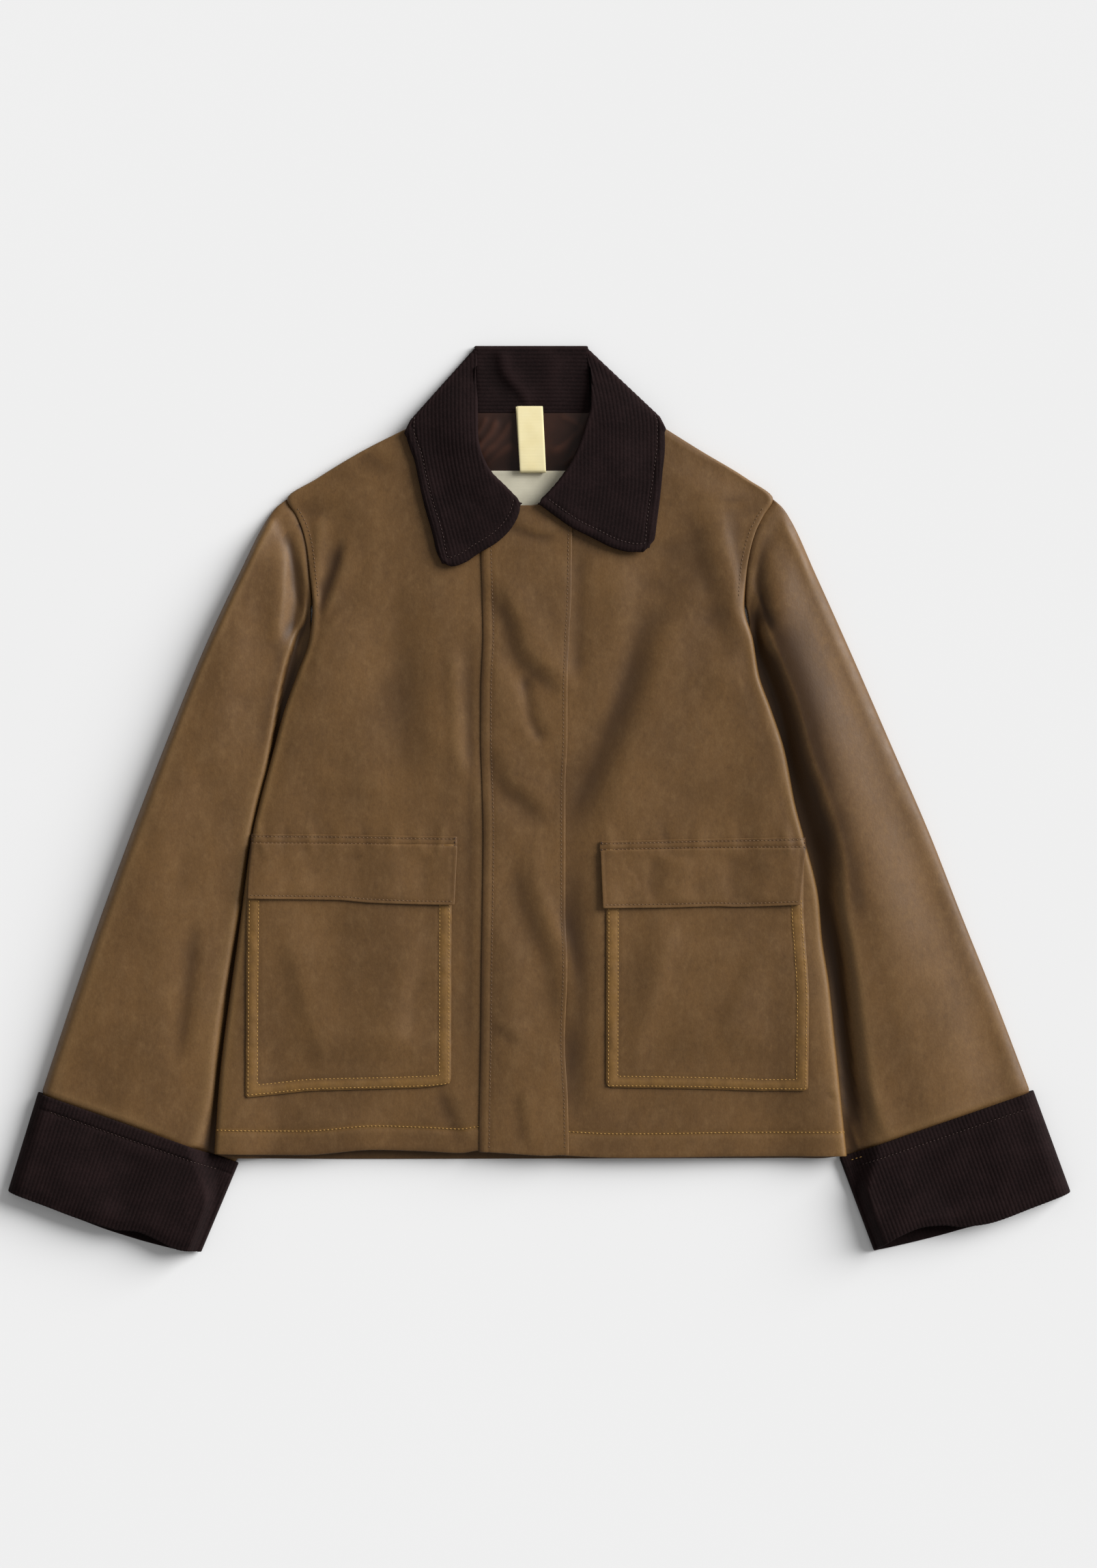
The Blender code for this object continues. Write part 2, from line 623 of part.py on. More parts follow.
def make_cuff(wearer):
    corners, foot = (RIGHT_CUFF, RIGHT_CUFF_FOOT) if wearer == "right" else (LEFT_CUFF, LEFT_CUFF_FOOT)
    top_inner, top_outer, foot_inner, foot_outer = [np.array(c) for c in corners["top"] + corners["foot"]]
    down = (foot_inner - top_inner) / np.linalg.norm(foot_inner - top_inner)
    rings = []
    for share in np.linspace(0.0, 1.0, CUFF_SPANS + 1):
        inner = top_inner + (foot_inner - top_inner) * share
        outer = top_outer + (foot_outer - top_outer) * share
        height = CUFF_HEIGHTS[0] + (CUFF_HEIGHTS[1] - CUFF_HEIGHTS[0]) * share
        ring = tube_section(inner, outer, height, CUFF_TUCK * (1.0 - share) + 3.0)
        across = outer - inner
        place = np.clip((ring[:, :2] - inner) @ across / (across @ across), 0.0, 1.0)
        is_upper = np.arange(len(ring)) < TOP_POINTS
        bow = np.where(is_upper, read(foot, place, 1, key=0), read(foot, place, 2, key=0))
        ring[:, :2] += down * (bow * share ** 3)[:, None]
        rings.append(ring)
    cloth("cuff_" + wearer, np.array(rings), CORDUROY, "corduroy", tube=True, top=(2, 7))


def leaf_height(x, y):
    """Height of the outside of the collar leaves."""
    resting = front_top(x, np.minimum(y, 300.0)) + LEAF_STANDOFF
    near_corner = smooth((y - 300.0) / 66.0)
    return resting + (ROLL_HEIGHT - resting) * near_corner


def leaf_grid(roll, edge, front, rows, columns):
    """Leaf between its roll line and its free edge, from the corner (first row) to the front edge."""
    shares = np.linspace(0.0, 1.0, rows)
    start = along(roll, shares)
    end = along(edge, shares)
    across = np.linspace(0.0, 1.0, columns)
    flat = start[:, None] + (end - start)[:, None] * across[:, None]
    last = along(front, across)
    pull = (shares ** 4)[:, None, None]
    flat = flat + (last - flat[-1])[None] * pull
    return flat


def fold_inward(flat):
    """Way in from a leaf's fold: square to the fold at the roll, along the free edge at its other end."""
    along_fold = flat[0, -1] - flat[0, 0]
    square = np.array((-along_fold[1], along_fold[0])) / np.linalg.norm(along_fold)
    edge = flat[1, -1] - flat[0, -1]
    square = square * np.sign(square @ edge)
    by_edge = edge / (square @ edge)
    share = np.linspace(0.0, 1.0, flat.shape[1])[:, None]
    return square * (1.0 - share) + by_edge * share


def make_collar():
    """Fall of the collar: right leaf, round the fold, under the back neck, round the fold, left leaf."""
    leaves, turns = {}, {}
    outlines = (("right", RIGHT_LEAF_ROLL, RIGHT_LEAF_EDGE, RIGHT_LEAF_FRONT),
                ("left", LEFT_LEAF_ROLL, LEFT_LEAF_EDGE, LEFT_LEAF_FRONT))
    for wearer, roll, edge, front in outlines:
        flat = leaf_grid(roll, edge, front, LEAF_ROWS, LEAF_COLUMNS)
        leaf = surface(flat[..., 0], flat[..., 1], leaf_height(flat[..., 0], flat[..., 1]))
        inward = fold_inward(flat)
        half = leaf[0, :, 2:] / 2.0
        turns[wearer] = []
        for angle in np.radians(FOLD_ANGLES):
            line = leaf[0].copy()
            line[:, :2] += half * (1.0 - np.cos(angle)) * inward
            line[:, 2:] = half * (1.0 + np.sin(angle))
            turns[wearer].append(line)
        leaf[0, :, :2] += half * inward
        leaves[wearer] = leaf
    right_foot, left_foot = turns["right"][-1], turns["left"][-1]
    back = []
    for share in np.linspace(0.0, 1.0, FALL_SPANS + 1)[1:-1]:
        line = right_foot + (left_foot - right_foot) * share
        reach = smooth(min(share, 1.0 - share) * 5.0)
        down = np.linspace(0.0, 1.0, LEAF_COLUMNS)
        line[:, 1] += ((FALL_EDGE - line[-1, 1]) * down - FALL_TOP_DROP * (1.0 - down)) * reach
        back.append(line)
    rows = list(leaves["right"][::-1]) + turns["right"] + back + turns["left"][::-1] + list(leaves["left"])
    cloth("collar_fall", curl_under(np.array(rows)), CORDUROY, "corduroy", top=(5, 7))


def curl_under(points):
    """Turn the leaves' roll line down and under; elsewhere the added columns stay short and flat."""
    inward = points[:, 0] - points[:, 1]
    inward[:, 2] = 0.0
    inward = inward / np.linalg.norm(inward, axis=1, keepdims=True)
    count = len(points)
    place = np.minimum(np.arange(count), np.arange(count)[::-1])
    amount = smooth((LEAF_ROWS - 2.0 - place) / 4.0) * smooth(place / 2.0)
    amount = amount[:, None]
    edge = points[:, 0] - inward * LEAF_CURL * amount
    points = points.copy()
    points[:, 0] = edge
    added = []
    for step in range(1, CURL_STEPS + 1):
        angle = np.pi * step / CURL_STEPS
        column = edge + inward * LEAF_CURL * np.sin(angle) * amount
        column[:, 2] -= LEAF_CURL * (1.0 - np.cos(angle)) * amount[:, 0]
        added.append(column + inward * (FLAT_STEP * step) * (1.0 - amount))
    tail = added[-1] - inward * LEAF_RETURN * amount + inward * FLAT_STEP * (1.0 - amount)
    return np.concatenate((np.stack([tail] + added[::-1], axis=1), points), axis=1)


def make_stand():
    turn = CORDUROY + 0.6
    rows = [(y, ROLL_HEIGHT) for y in np.linspace(STAND_SEAM, STAND_TOP - turn, 6)]
    for angle in np.radians((30.0, 60.0, 90.0)):
        rows.append((STAND_TOP - turn * (1.0 - np.sin(angle)), ROLL_HEIGHT - turn * (1.0 - np.cos(angle))))
    rows.append((STAND_TOP, REST))
    rows = np.array(rows[::-1])
    right = read(STAND_SIDES, rows[:, 0], 1, key=0)[:, None]
    left = read(STAND_SIDES, rows[:, 0], 2, key=0)[:, None]
    grid_x = right + (left - right) * np.linspace(0.0, 1.0, 7)
    grid_y = np.repeat(rows[:, 0][:, None], 7, axis=1)
    grid_z = np.repeat(rows[:, 1][:, None], 7, axis=1)
    cloth("collar_stand", surface(grid_x, grid_y, grid_z), CORDUROY, "corduroy")


def make_lining():
    y, right, left = np.array(LINING_ROWS).T
    x = right[:, None] + (left - right)[:, None] * np.linspace(0.0, 1.0, LINING_COLUMNS)
    y = np.repeat(y[:, None], x.shape[1], axis=1)
    cloth("lining_neck", surface(x, y, back_top(x, y) + REST + SATIN), SATIN, "satin")


def make_label():
    x, y = np.meshgrid(np.linspace(LABEL_SPAN[0], LABEL_SPAN[1], 3), LABEL_ROWS)
    z = back_top(x, y) + 2.0 * REST + SATIN + TAPE
    z[0] += LABEL_LIFT
    cloth("label", surface(x, y, z), TAPE, "label_cloth")


def make_loop():
    """Tape folded double: down from the stand's seam, round at the foot and back up below."""
    down = np.linspace(LOOP_TOP, LOOP_BOTTOM + 2.0, 7)
    upper = ROLL_HEIGHT + LOOP_RISE
    lower = upper - LOOP_GAP
    length = LOOP_TOP - LOOP_BOTTOM
    rows = [(y, upper + LOOP_BOW * np.sin(np.pi * (LOOP_TOP - y) / length)) for y in down]
    rows.append((LOOP_BOTTOM, (upper + lower) / 2.0))
    rows += [(y, lower) for y in down[::-1]]
    rows = np.array(rows)
    share = (LOOP_TOP - rows[:, 0]) / length
    centre = LOOP_SHIFT[0] + (LOOP_SHIFT[1] - LOOP_SHIFT[0]) * share
    across = np.linspace(-0.5, 0.5, 3) * LOOP_WIDTH
    x = centre[:, None] + across
    y = np.repeat(rows[:, 0][:, None], 3, axis=1)
    z = np.repeat(rows[:, 1][:, None], 3, axis=1)
    cloth("hanger_loop", surface(x, y, z), TAPE, "tape", top=(3, 1))


def main():
    for item in list(bpy.data.objects):
        bpy.data.objects.remove(item)
    jacket = bpy.data.collections.new("waxed_cotton_jacket")
    bpy.context.scene.collection.children.link(jacket)
    make_back()
    grids = make_fronts()
    make_placket(grids)
    make_pockets(grids)
    for wearer in ("right", "left"):
        make_sleeve(wearer)
        make_cuff(wearer)
    make_collar()
    make_stand()
    make_lining()
    make_label()
    make_loop()


main()
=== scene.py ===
"""Looks of a waxed cotton jacket that lies closed and flat on its back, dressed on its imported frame.

The floor is z = 0, +Y runs up to the collar and +X to the wearer's left. The camera looks straight down.
Lengths in the tables and shape functions are millimetres and become metres when a mesh is made.
Right and left are the wearer's, so the wearer's right is on the left of the picture.
"""
import math

import bmesh
import bpy
import numpy as np
from bpy.props import FloatProperty, FloatVectorProperty, IntProperty, PointerProperty
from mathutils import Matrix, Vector


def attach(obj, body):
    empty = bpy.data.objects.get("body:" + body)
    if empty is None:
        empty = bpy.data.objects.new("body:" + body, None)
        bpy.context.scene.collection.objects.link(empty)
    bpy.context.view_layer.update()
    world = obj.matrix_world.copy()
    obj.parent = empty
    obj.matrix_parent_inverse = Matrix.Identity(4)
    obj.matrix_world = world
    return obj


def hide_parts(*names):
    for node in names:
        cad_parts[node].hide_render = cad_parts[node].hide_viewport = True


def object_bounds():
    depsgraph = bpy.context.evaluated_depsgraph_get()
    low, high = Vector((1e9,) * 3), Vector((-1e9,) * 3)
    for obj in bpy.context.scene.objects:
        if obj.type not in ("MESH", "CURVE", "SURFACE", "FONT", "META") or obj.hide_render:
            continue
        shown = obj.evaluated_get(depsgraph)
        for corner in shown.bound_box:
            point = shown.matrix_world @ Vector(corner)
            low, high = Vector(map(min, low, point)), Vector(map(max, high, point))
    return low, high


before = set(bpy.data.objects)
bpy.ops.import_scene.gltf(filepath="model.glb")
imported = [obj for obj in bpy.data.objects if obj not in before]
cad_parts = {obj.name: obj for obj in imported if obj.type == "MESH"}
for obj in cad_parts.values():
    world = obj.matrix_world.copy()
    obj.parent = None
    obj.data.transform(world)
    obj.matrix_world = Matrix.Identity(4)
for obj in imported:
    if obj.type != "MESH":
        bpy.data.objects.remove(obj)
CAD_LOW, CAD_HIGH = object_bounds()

bl_info = {
    "name": "Waxed Cotton Jacket",
    "version": (1, 0, 0),
    "blender": (4, 5, 0),
    "location": "View3D > Sidebar > Jacket",
    "description": "Builds a waxed cotton jacket with corduroy collar and cuffs, laid flat",
    "category": "Add Mesh",
}

MM = 0.001

# Gap of pieces at rest, step of a piece sewn on another, gap at the armhole seam, top of the back over its
# underside, room that folds leave over the back
REST = 0.4
LAYER = 2.0
SEAM = 0.5
BACK_TOP = 1.6
PANEL_ROOM = 3.0

# Rows of stitches in from an edge: sewn and free edge of the placket, strips, flaps
PLACKET_ROWS = (8.0, 2.6)
BAND_ROW = 1.4
FLAP_ROW = 2.6

# Grids: spacing, size, top and span across of the back, size, foot and crowding towards the side of a front,
# points to a rib, steps round an edge, smallest length that is divided by
BACK_GRID = 5.0
BACK_SIZE = (500.0, 600.0)
BACK_ROW = 300.0
BACK_SPAN = (-262.0, 510.0)
FRONT_SIZE = (245.0, 594.0)
FRONT_FOOT = -291.0
SIDE_CROWDING = 1.18
POINTS_TO_RIB = 6.0
RIM_STEPS = 3
TINY = 1e-9

# Painted shade and wear: heights over the near and the wide surroundings that count in full, share of each
SHADE_AND_WEAR_HEIGHTS = (0.3, 3.6)
SHADE_AND_WEAR_SHARE = 0.45

# Body: how it lies over the sleeves, over the collar's fall and up to the armholes
SLEEVE_UNDER_BODY = 5.4
BODY_OVER_SLEEVE = 6.8
BODY_RAMP = (24.0, 48.0)
ARMPIT_RAMP = (157.0, 176.0)
ARMHOLE_SPAN = (166.0, 244.3)
ARMHOLE_FADE = (6.0, 1.5)
NECK_RAMP = (268.0, 288.0)
OVER_FALL = 2.6
EDGE_ROUND = 4.5
PANEL_REACH = (4.0, 60.0)
FOLD_REACH = 10.0
DEEPEST_FOLD = 0.75
TOP_ROW = 303.0
BACK_INSET = 3.6

# Swell of the fronts over the sleeves: rise, then start and reach of its way up from the side, of its way
# down towards the middle and of its fade up to the armpit
SWELL_RISE = 0.9
SWELL_REACH = ((2.0, 18.0), (54.0, 32.0), (160.0, 60.0))

# Fade of folds and slopes at the ends of their lines: steepness, and what is left of a fold there
FOLD_FADE = (4.2, 0.12)
SLOPE_FADE = 3.2

# Dips of the cloth along its rows of stitches: half width, depth
DITCHES = {
    "hem": (1.8, 0.35), "placket": (1.4, 0.35), "placket edge": (1.3, 0.25), "pocket edge": (1.1, 0.35),
    "pocket border": (1.2, 0.4), "strip": (1.0, 0.3), "flap": (1.1, 0.3), "armhole": (2.2, 1.1),
    "cuff": (1.1, 0.6), "leaf": (1.3, 0.5),
}

# Edges that are pressed down: depth, reach
PRESSED = {"placket": (0.9, 5.0), "pocket": (0.8, 2.2), "leaf": (0.9, 2.6)}

# Unevenness of the smaller pieces: height, size of its swells, seed
RIPPLES = {
    "placket": (0.4, 23.0, 21), "pocket border": (0.22, 7.5, 31), "pocket": (0.5, 34.0, 32),
    "golden border": (0.2, 6.0, 33), "strip": (0.18, 8.0, 41), "flap": (0.25, 19.0, 42),
    "cuff": (0.8, 36.0, 51), "label": (0.25, 18.0, 61), "loop": (0.12, 11.0, 62),
}

# Side outline of each body panel: place, y, x of right, x of left
SIDES = (
    ("neck point", 303.0, -106.0, 102.0),
    ("shoulder a", 284.0, -143.6, 132.4),
    ("shoulder b", 261.5, -181.0, 169.8),
    ("shoulder point", 244.2, -205.8, 191.8),
    ("armhole a", 231.0, -198.0, 184.0),
    ("armhole b", 217.4, -192.3, 177.2),
    ("armhole c", 202.4, -189.0, 172.8),
    ("armhole d", 182.9, -186.8, 169.6),
    ("armpit", 157.2, -184.5, 168.0),
    ("ribs a", 129.3, -187.4, 175.2),
    ("ribs b", 100.9, -197.4, 180.0),
    ("ribs c", 70.8, -208.0, 190.6),
    ("waist a", 39.6, -216.4, 200.8),
    ("waist b", -6.1, -228.6, 209.8),
    ("flap top", -31.0, -234.2, 216.4),
    ("flap foot", -83.1, -241.4, 228.8),
    ("hip a", -113.7, -245.4, 231.4),
    ("hip b", -152.2, -250.9, 237.3),
    ("hip c", -197.9, -257.1, 242.0),
    ("hip d", -226.9, -260.4, 245.0),
    ("hem", -293.0, -265.1, 251.7),
)

# Neckline and closing edge of each front under the placket: y, x of right, x of left
CLOSING = (
    (303.0, -76.0, 70.0), (284.0, -66.0, 58.0), (261.5, -52.0, 42.0), (244.2, -38.0, 26.0),
    (237.5, -15.0, -11.0), (-300.0, -15.0, -11.0),
)

# Hem of the fronts and of the back: x, y
FRONT_HEM = (
    (-266.0, -289.6), (-235.8, -290.2), (-191.8, -290.6), (-133.8, -286.4), (-95.9, -287.4), (-63.6, -288.9),
    (-48.5, -286.9), (-3.0, -289.4), (69.7, -292.8), (161.1, -291.8), (252.0, -291.4),
)
BACK_HEM = (
    (-264.0, -290.6), (-247.0, -293.4), (-150.0, -294.2), (0.0, -294.0), (150.0, -293.6), (230.0, -293.2),
    (250.0, -290.8),
)

# Columns turned under at a front's side: depth in, height over the back, drop at the armhole
TURNED = ((3.4, 0.15, 3.0), (1.4, 0.8, 2.2), (0.3, 1.8, 1.2))

# Height of the armhole seam above the floor: y, height
ARMHOLE_HEIGHT = ((157.2, 5.0), (170.0, 8.2), (185.0, 9.4), (205.0, 9.6), (228.0, 7.2), (244.2, 4.2))

# Heights of the fronts: y, at the side edge, rise of its rounding, in the middle of the panel
FRONT_LEVELS = (
    (303.0, 5.6, 1.6, 8.0), (284.0, 5.6, 2.0, 8.8), (268.0, 4.8, 2.4, 9.6), (244.2, 4.2, 2.6, 10.4),
    (236.0, 5.4, 1.4, 10.7), (225.0, 7.4, 0.6, 11.0), (205.0, 9.4, 0.2, 11.6), (180.0, 9.7, 1.0, 12.4),
    (157.0, 9.7, 2.8, 13.0), (135.0, 9.7, 4.2, 13.4), (90.0, 9.7, 4.5, 13.6), (0.0, 9.7, 4.5, 13.4),
    (-240.0, 9.7, 4.5, 11.9), (-293.0, 9.7, 3.5, 10.4),
)

# How far the painted shade of a slope reaches, in half widths of its slope
SLOPE_SHADE_REACH = 1.6

# Slopes of the fronts, their low side on the right hand of the way they run: place, points down the middle,
# half width, reach on the low and on the high side, half of the rise, painted shade along it
FRONT_SLOPES = (
    ("right armhole roll", ((-155, 218), (-163, 190), (-173, 160), (-182, 130)), 4.5, (9.0, 10.0), 1.3, 0.25),
    ("right long valley", ((-104, 208), (-103, 162), (-99, 87), (-91, 23), (-87, -14)), 19.0,
     (30.0, 22.0), 1.5, 0.20),
    ("right seam side", ((-53, 206), (-53, 100), (-53, -60), (-54, -276)), 3.6, (9.0, 6.0), 0.3, 0.1),
    ("right shoulder wrinkle", ((-150, 294), (-134, 282), (-112, 262)), 7.0, (12.0, 12.0), 0.4, 0.05),
    ("right hem wrinkle", ((-78, -228), (-68, -258), (-56, -286)), 6.0, (8.0, 11.0), 0.6, 0.10),
    ("placket neck", ((-34, 229), (-14, 221), (4, 216), (20, 217)), 4.5, (7.0, 8.0), 0.6, 0.17),
    ("placket upper", ((-44, 190), (-36, 173), (-21, 145), (-12, 117), (4, 103), (21, 90), (32, 82)), 8.5,
     (14.0, 14.0), 1.5, 0.22),
    ("placket middle", ((-38, 56), (-33, 30), (-26, 12), (-12, 2), (0, -9), (16, -22)), 8.0,
     (12.0, 14.0), 1.1, 0.15),
    ("placket lower", ((-18, -26), (-13, -48), (-9, -76), (1, -105), (12, -130), (17, -162), (19, -214)), 9.5,
     (16.0, 8.0), 1.3, 0.12),
    ("placket small", ((-42, -180), (-30, -187), (-10, -203)), 5.0, (8.0, 8.0), 0.4, 0.10),
    ("placket hem", ((-15, -232), (-12, -262), (-8, -290)), 5.0, (9.0, 8.0), 0.5, 0.05),
    ("left upper hollow", ((124, 222), (120, 188), (110, 150)), 20.0, (26.0, 20.0), 1.2, 0.17),
    ("left long band", ((124, 190), (111, 154), (94, 127), (82, 89), (71, 60), (57, 22), (42, -14), (34, -40),
                        (31, -66)), 15.0, (24.0, 30.0), 2.3, 0.35),
    ("left strip by the placket", ((39, -16), (37, -90), (37, -180), (38, -290)), 12.0,
     (10.0, 16.0), 1.3, 0.3),
    ("left armhole side", ((133, 252), (137, 214), (145, 180), (155, 148), (168, 112)), 13.0,
     (20.0, 7.0), 1.9, 0.25),
    ("left side shade", ((154, 160), (173, 94), (190, 30)), 13.0, (8.0, 8.0), 0.0, 0.25),
    ("left hem crease", ((234, -234), (243, -243), (253, -247)), 2.6, (4.0, 5.0), 0.5, 0.15),
)

# Softer folds of the fronts: place, points, half widths on the left and right hand of their way, height
FRONT_FOLDS = (
    ("right armhole swell", ((-178, 232), (-180, 205), (-186, 172)), (7.0, 6.0), 1.4),
    ("right edge trough", ((-160, 162), (-184, 127), (-190, 98)), (5.0, 6.0), -0.9),
    ("right upper swell", ((-140, 206), (-142, 130), (-146, 60), (-150, 0)), (26.0, 30.0), 1.5),
    ("right lit crest", ((-71, 130), (-68, 84), (-66, 40), (-58, 8)), (7.0, 6.0), 1.0),
    ("right waist crease", ((-190, 24), (-150, 14), (-120, 20)), (8.0, 12.0), 0.7),
    ("right hip swell", ((-150, -110), (-152, -215)), (52.0, 48.0), 1.6),
    ("right hem swell", ((-200, -262), (-120, -268)), (10.0, 14.0), 0.9),
    ("placket tail crease", ((-12, 104), (-9, 84), (-6, 66), (6, 42)), (6.0, 6.0), -1.3),
    ("placket left swell", ((-34, 120), (-30, 84), (-24, 50)), (10.0, 9.0), 0.7),
    ("placket low swell", ((-26, -100), (-24, -160), (-20, -240)), (13.0, 13.0), 1.0),
    ("left upper crest", ((66, 206), (66, 150), (58, 100), (42, 56)), (14.0, 15.0), 1.4),
    ("left seam trough", ((33, 206), (33, 150), (31, 90)), (8.0, 9.0), -1.3),
    ("left chest swell", ((150, 120), (140, 60), (118, 4)), (30.0, 30.0), 1.2),
    ("left side roll", ((178, 116), (184, 88), (196, 44), (206, 0)), (6.0, 10.0), 1.0),
    ("left hip swell", ((140, -110), (142, -215)), (50.0, 46.0), 1.6),
    ("right pocket fold", ((-206, -100), (-192, -150), (-170, -226)), (18.0, 10.0), 1.5),
    ("right pocket lean", ((-96, -96), (-112, -150), (-120, -214)), (10.0, 20.0), 1.3),
    ("left pocket fold", ((112, -94), (98, -140), (84, -190), (72, -226)), (10.0, 18.0), 1.6),
    ("left pocket lean", ((196, -104), (172, -150), (150, -204)), (20.0, 10.0), 1.4),
    ("left side pucker", ((191, 76), (195, 62), (200, 50)), (2.5, 3.5), -3.6),
)

# Small puckers above each flap: x of the pucker, lean of its way down, half width, height
PUCKERS = (
    (-226.0, 5.0, 4.0, 0.8), (-207.0, -4.0, 5.0, -0.6), (-186.0, 3.0, 4.5, 0.7), (-163.0, -5.0, 5.5, 0.6),
    (-141.0, 4.0, 4.5, -0.5), (-118.0, -3.0, 5.0, 0.7), (-97.0, 4.0, 4.5, 0.5), (-79.0, -4.0, 3.5, 0.8),
    (58.0, 4.0, 4.0, 0.6), (80.0, -3.0, 5.0, 0.5), (104.0, 4.0, 5.0, -0.5), (131.0, -4.0, 5.0, 0.6),
    (158.0, 3.0, 4.5, 0.5), (181.0, -4.0, 5.0, 0.6), (203.0, 3.0, 4.0, 0.7),
)
PUCKER_TOP = -12.0
PUCKER_FOOT = -33.0
PUCKER_END = (-52.0, 16.0)

# Unevenness of the waxed cotton: size of its swells, height, seed
SWELLS = ((96.0, 0.9, 11), (43.0, 0.4, 12), (18.0, 0.07, 13))

# Placket: y, x of its sewn right edge, x of its free left edge
PLACKET = (
    (238.4, -46.8, 27.3), (213.5, -46.9, 26.8), (165.6, -45.6, 26.2), (134.9, -44.8, 24.6),
    (87.0, -46.7, 22.9), (49.6, -46.8, 22.9), (12.3, -45.6, 21.3), (-31.0, -44.7, 21.2), (-91.4, -45.4, 21.2),
    (-135.5, -46.2, 22.8), (-198.5, -46.8, 20.8), (-248.6, -47.8, 23.3), (-290.0, -48.4, 24.0),
)

# Pockets: y of the foot and x of the edges at the flap and at the foot, outer then inner; corner rounds
POCKETS = {
    "right": {"top": -38.0, "outer": ((-38.0, -234.9), (-83.0, -237.3), (-243.4, -238.6)),
              "inner": ((-38.0, -67.8), (-86.4, -71.3), (-233.0, -71.8)),
              "foot": ((-238.6, -243.4), (-217.4, -241.6), (-185.1, -238.3), (-136.0, -237.1),
                       (-87.0, -235.5), (-71.8, -233.6)), "rounds": (1.5, 5.0)},
    "left": {"top": -42.0, "outer": ((-42.0, 216.0), (-88.6, 215.6), (-123.8, 217.8), (-163.9, 220.0),
                                     (-203.5, 219.6), (-238.3, 219.2)),
             "inner": ((-42.0, 53.0), (-90.3, 55.6), (-236.0, 55.2)),
             "foot": ((55.2, -235.6), (129.9, -236.6), (194.0, -238.3), (219.2, -238.3)),
             "rounds": (5.0, 3.0)},
}
POCKET_BAND = 9.2
POCKET_ROW = 1.6

# Strip over each pocket's top: x, y of its upper edge, y of its lower edge
BANDS = {
    "right": ((-234.9, -29.4, -37.6), (-150.0, -30.4, -38.4), (-67.0, -31.8, -39.8)),
    "left": ((50.2, -35.6, -43.2), (129.9, -33.8, -41.6), (218.0, -32.2, -40.8)),
}

# Flaps: x of the edges at top and foot, outer then inner, and the foot edge
FLAPS = {
    "right": {"outer": ((-37.0, -234.7), (-81.6, -236.5)), "inner": ((-39.4, -66.9), (-86.6, -69.1)),
              "top": ((-234.7, -37.0), (-150.0, -37.8), (-66.9, -39.4)),
              "foot": ((-236.5, -81.6), (-201.3, -82.0), (-165.0, -82.4), (-136.0, -84.7), (-103.1, -85.9),
                       (-69.1, -86.6))},
    "left": {"outer": ((-40.6, 217.2), (-86.6, 212.6)), "inner": ((-43.0, 51.0), (-89.3, 53.0)),
             "top": ((51.0, -43.0), (130.0, -41.3), (217.2, -40.6)),
             "foot": ((53.0, -89.3), (105.9, -88.7), (146.1, -87.6), (162.2, -88.1), (212.6, -86.6))},
}
FLAP_FOLDS = (
    ("right flap hollow a", ((-150, -40), (-147, -62), (-151, -84)), (9.0, 12.0), -0.8),
    ("right flap ridge a", ((-196, -42), (-191, -84)), (14.0, 9.0), 0.7),
    ("right flap ridge b", ((-122, -44), (-118, -66), (-124, -86)), (8.0, 10.0), 0.7),
    ("right flap hollow b", ((-92, -44), (-95, -86)), (7.0, 9.0), -0.6),
    ("left flap hollow a", ((96, -46), (92, -68), (97, -88)), (8.0, 6.0), -0.8),
    ("left flap ridge a", ((118, -46), (114, -88)), (10.0, 14.0), 0.8),
    ("left flap hollow b", ((160, -44), (158, -66), (163, -88)), (9.0, 8.0), -0.7),
    ("left flap ridge b", ((186, -44), (183, -86)), (10.0, 12.0), 0.7),
)
SNAP = {"x": 70.5, "y": -70.0, "radius": 8.5, "rise": 0.4, "near": 4.0, "far": 22.0}

# Sleeve rings: place, span, outer x, outer y, inner x, inner y, height of the crown
RIGHT_SLEEVE = (
    ("armhole", 0, -205.8, 244.2, -184.5, 157.2, 8.5),
    ("shoulder bend", 1, -213.2, 239.2, -186.6, 155.6, 8.5),
    ("sleeve head", 1, -222.0, 228.0, -185.6, 136.0, 12.0),
    ("upper arm", 2, -244.9, 183.4, -188.5, 84.0, 16.0),
    ("arm", 2, -271.1, 127.7, -200.5, 34.0, 18.0),
    ("elbow a", 3, -307.3, 38.5, -218.0, -46.0, 18.0),
    ("elbow b", 2, -333.0, -28.4, -225.8, -105.0, 17.5),
    ("forearm a", 2, -357.5, -95.3, -233.5, -160.0, 17.0),
    ("forearm b", 2, -380.4, -162.2, -241.0, -222.0, 16.5),
    ("cuff seam", 3, -406.5, -240.9, -246.2, -297.5, 15.0),
)
LEFT_SLEEVE = (
    ("armhole", 0, 191.8, 244.2, 168.2, 157.2, 8.5),
    ("shoulder bend", 1, 198.0, 239.4, 170.2, 155.6, 8.5),
    ("sleeve head", 1, 205.9, 228.0, 172.0, 136.0, 12.0),
    ("upper arm", 2, 226.5, 183.4, 170.5, 84.0, 18.0),
    ("arm", 2, 251.6, 127.7, 185.0, 34.0, 20.2),
    ("elbow a", 3, 290.6, 38.5, 203.0, -46.0, 20.6),
    ("elbow b", 2, 319.6, -28.4, 212.0, -105.0, 20.2),
    ("forearm a", 2, 345.8, -95.3, 220.0, -160.0, 19.4),
    ("forearm b", 2, 372.6, -162.2, 226.5, -222.0, 18.0),
    ("cuff seam", 3, 402.2, -240.0, 246.6, -293.2, 15.0),
)
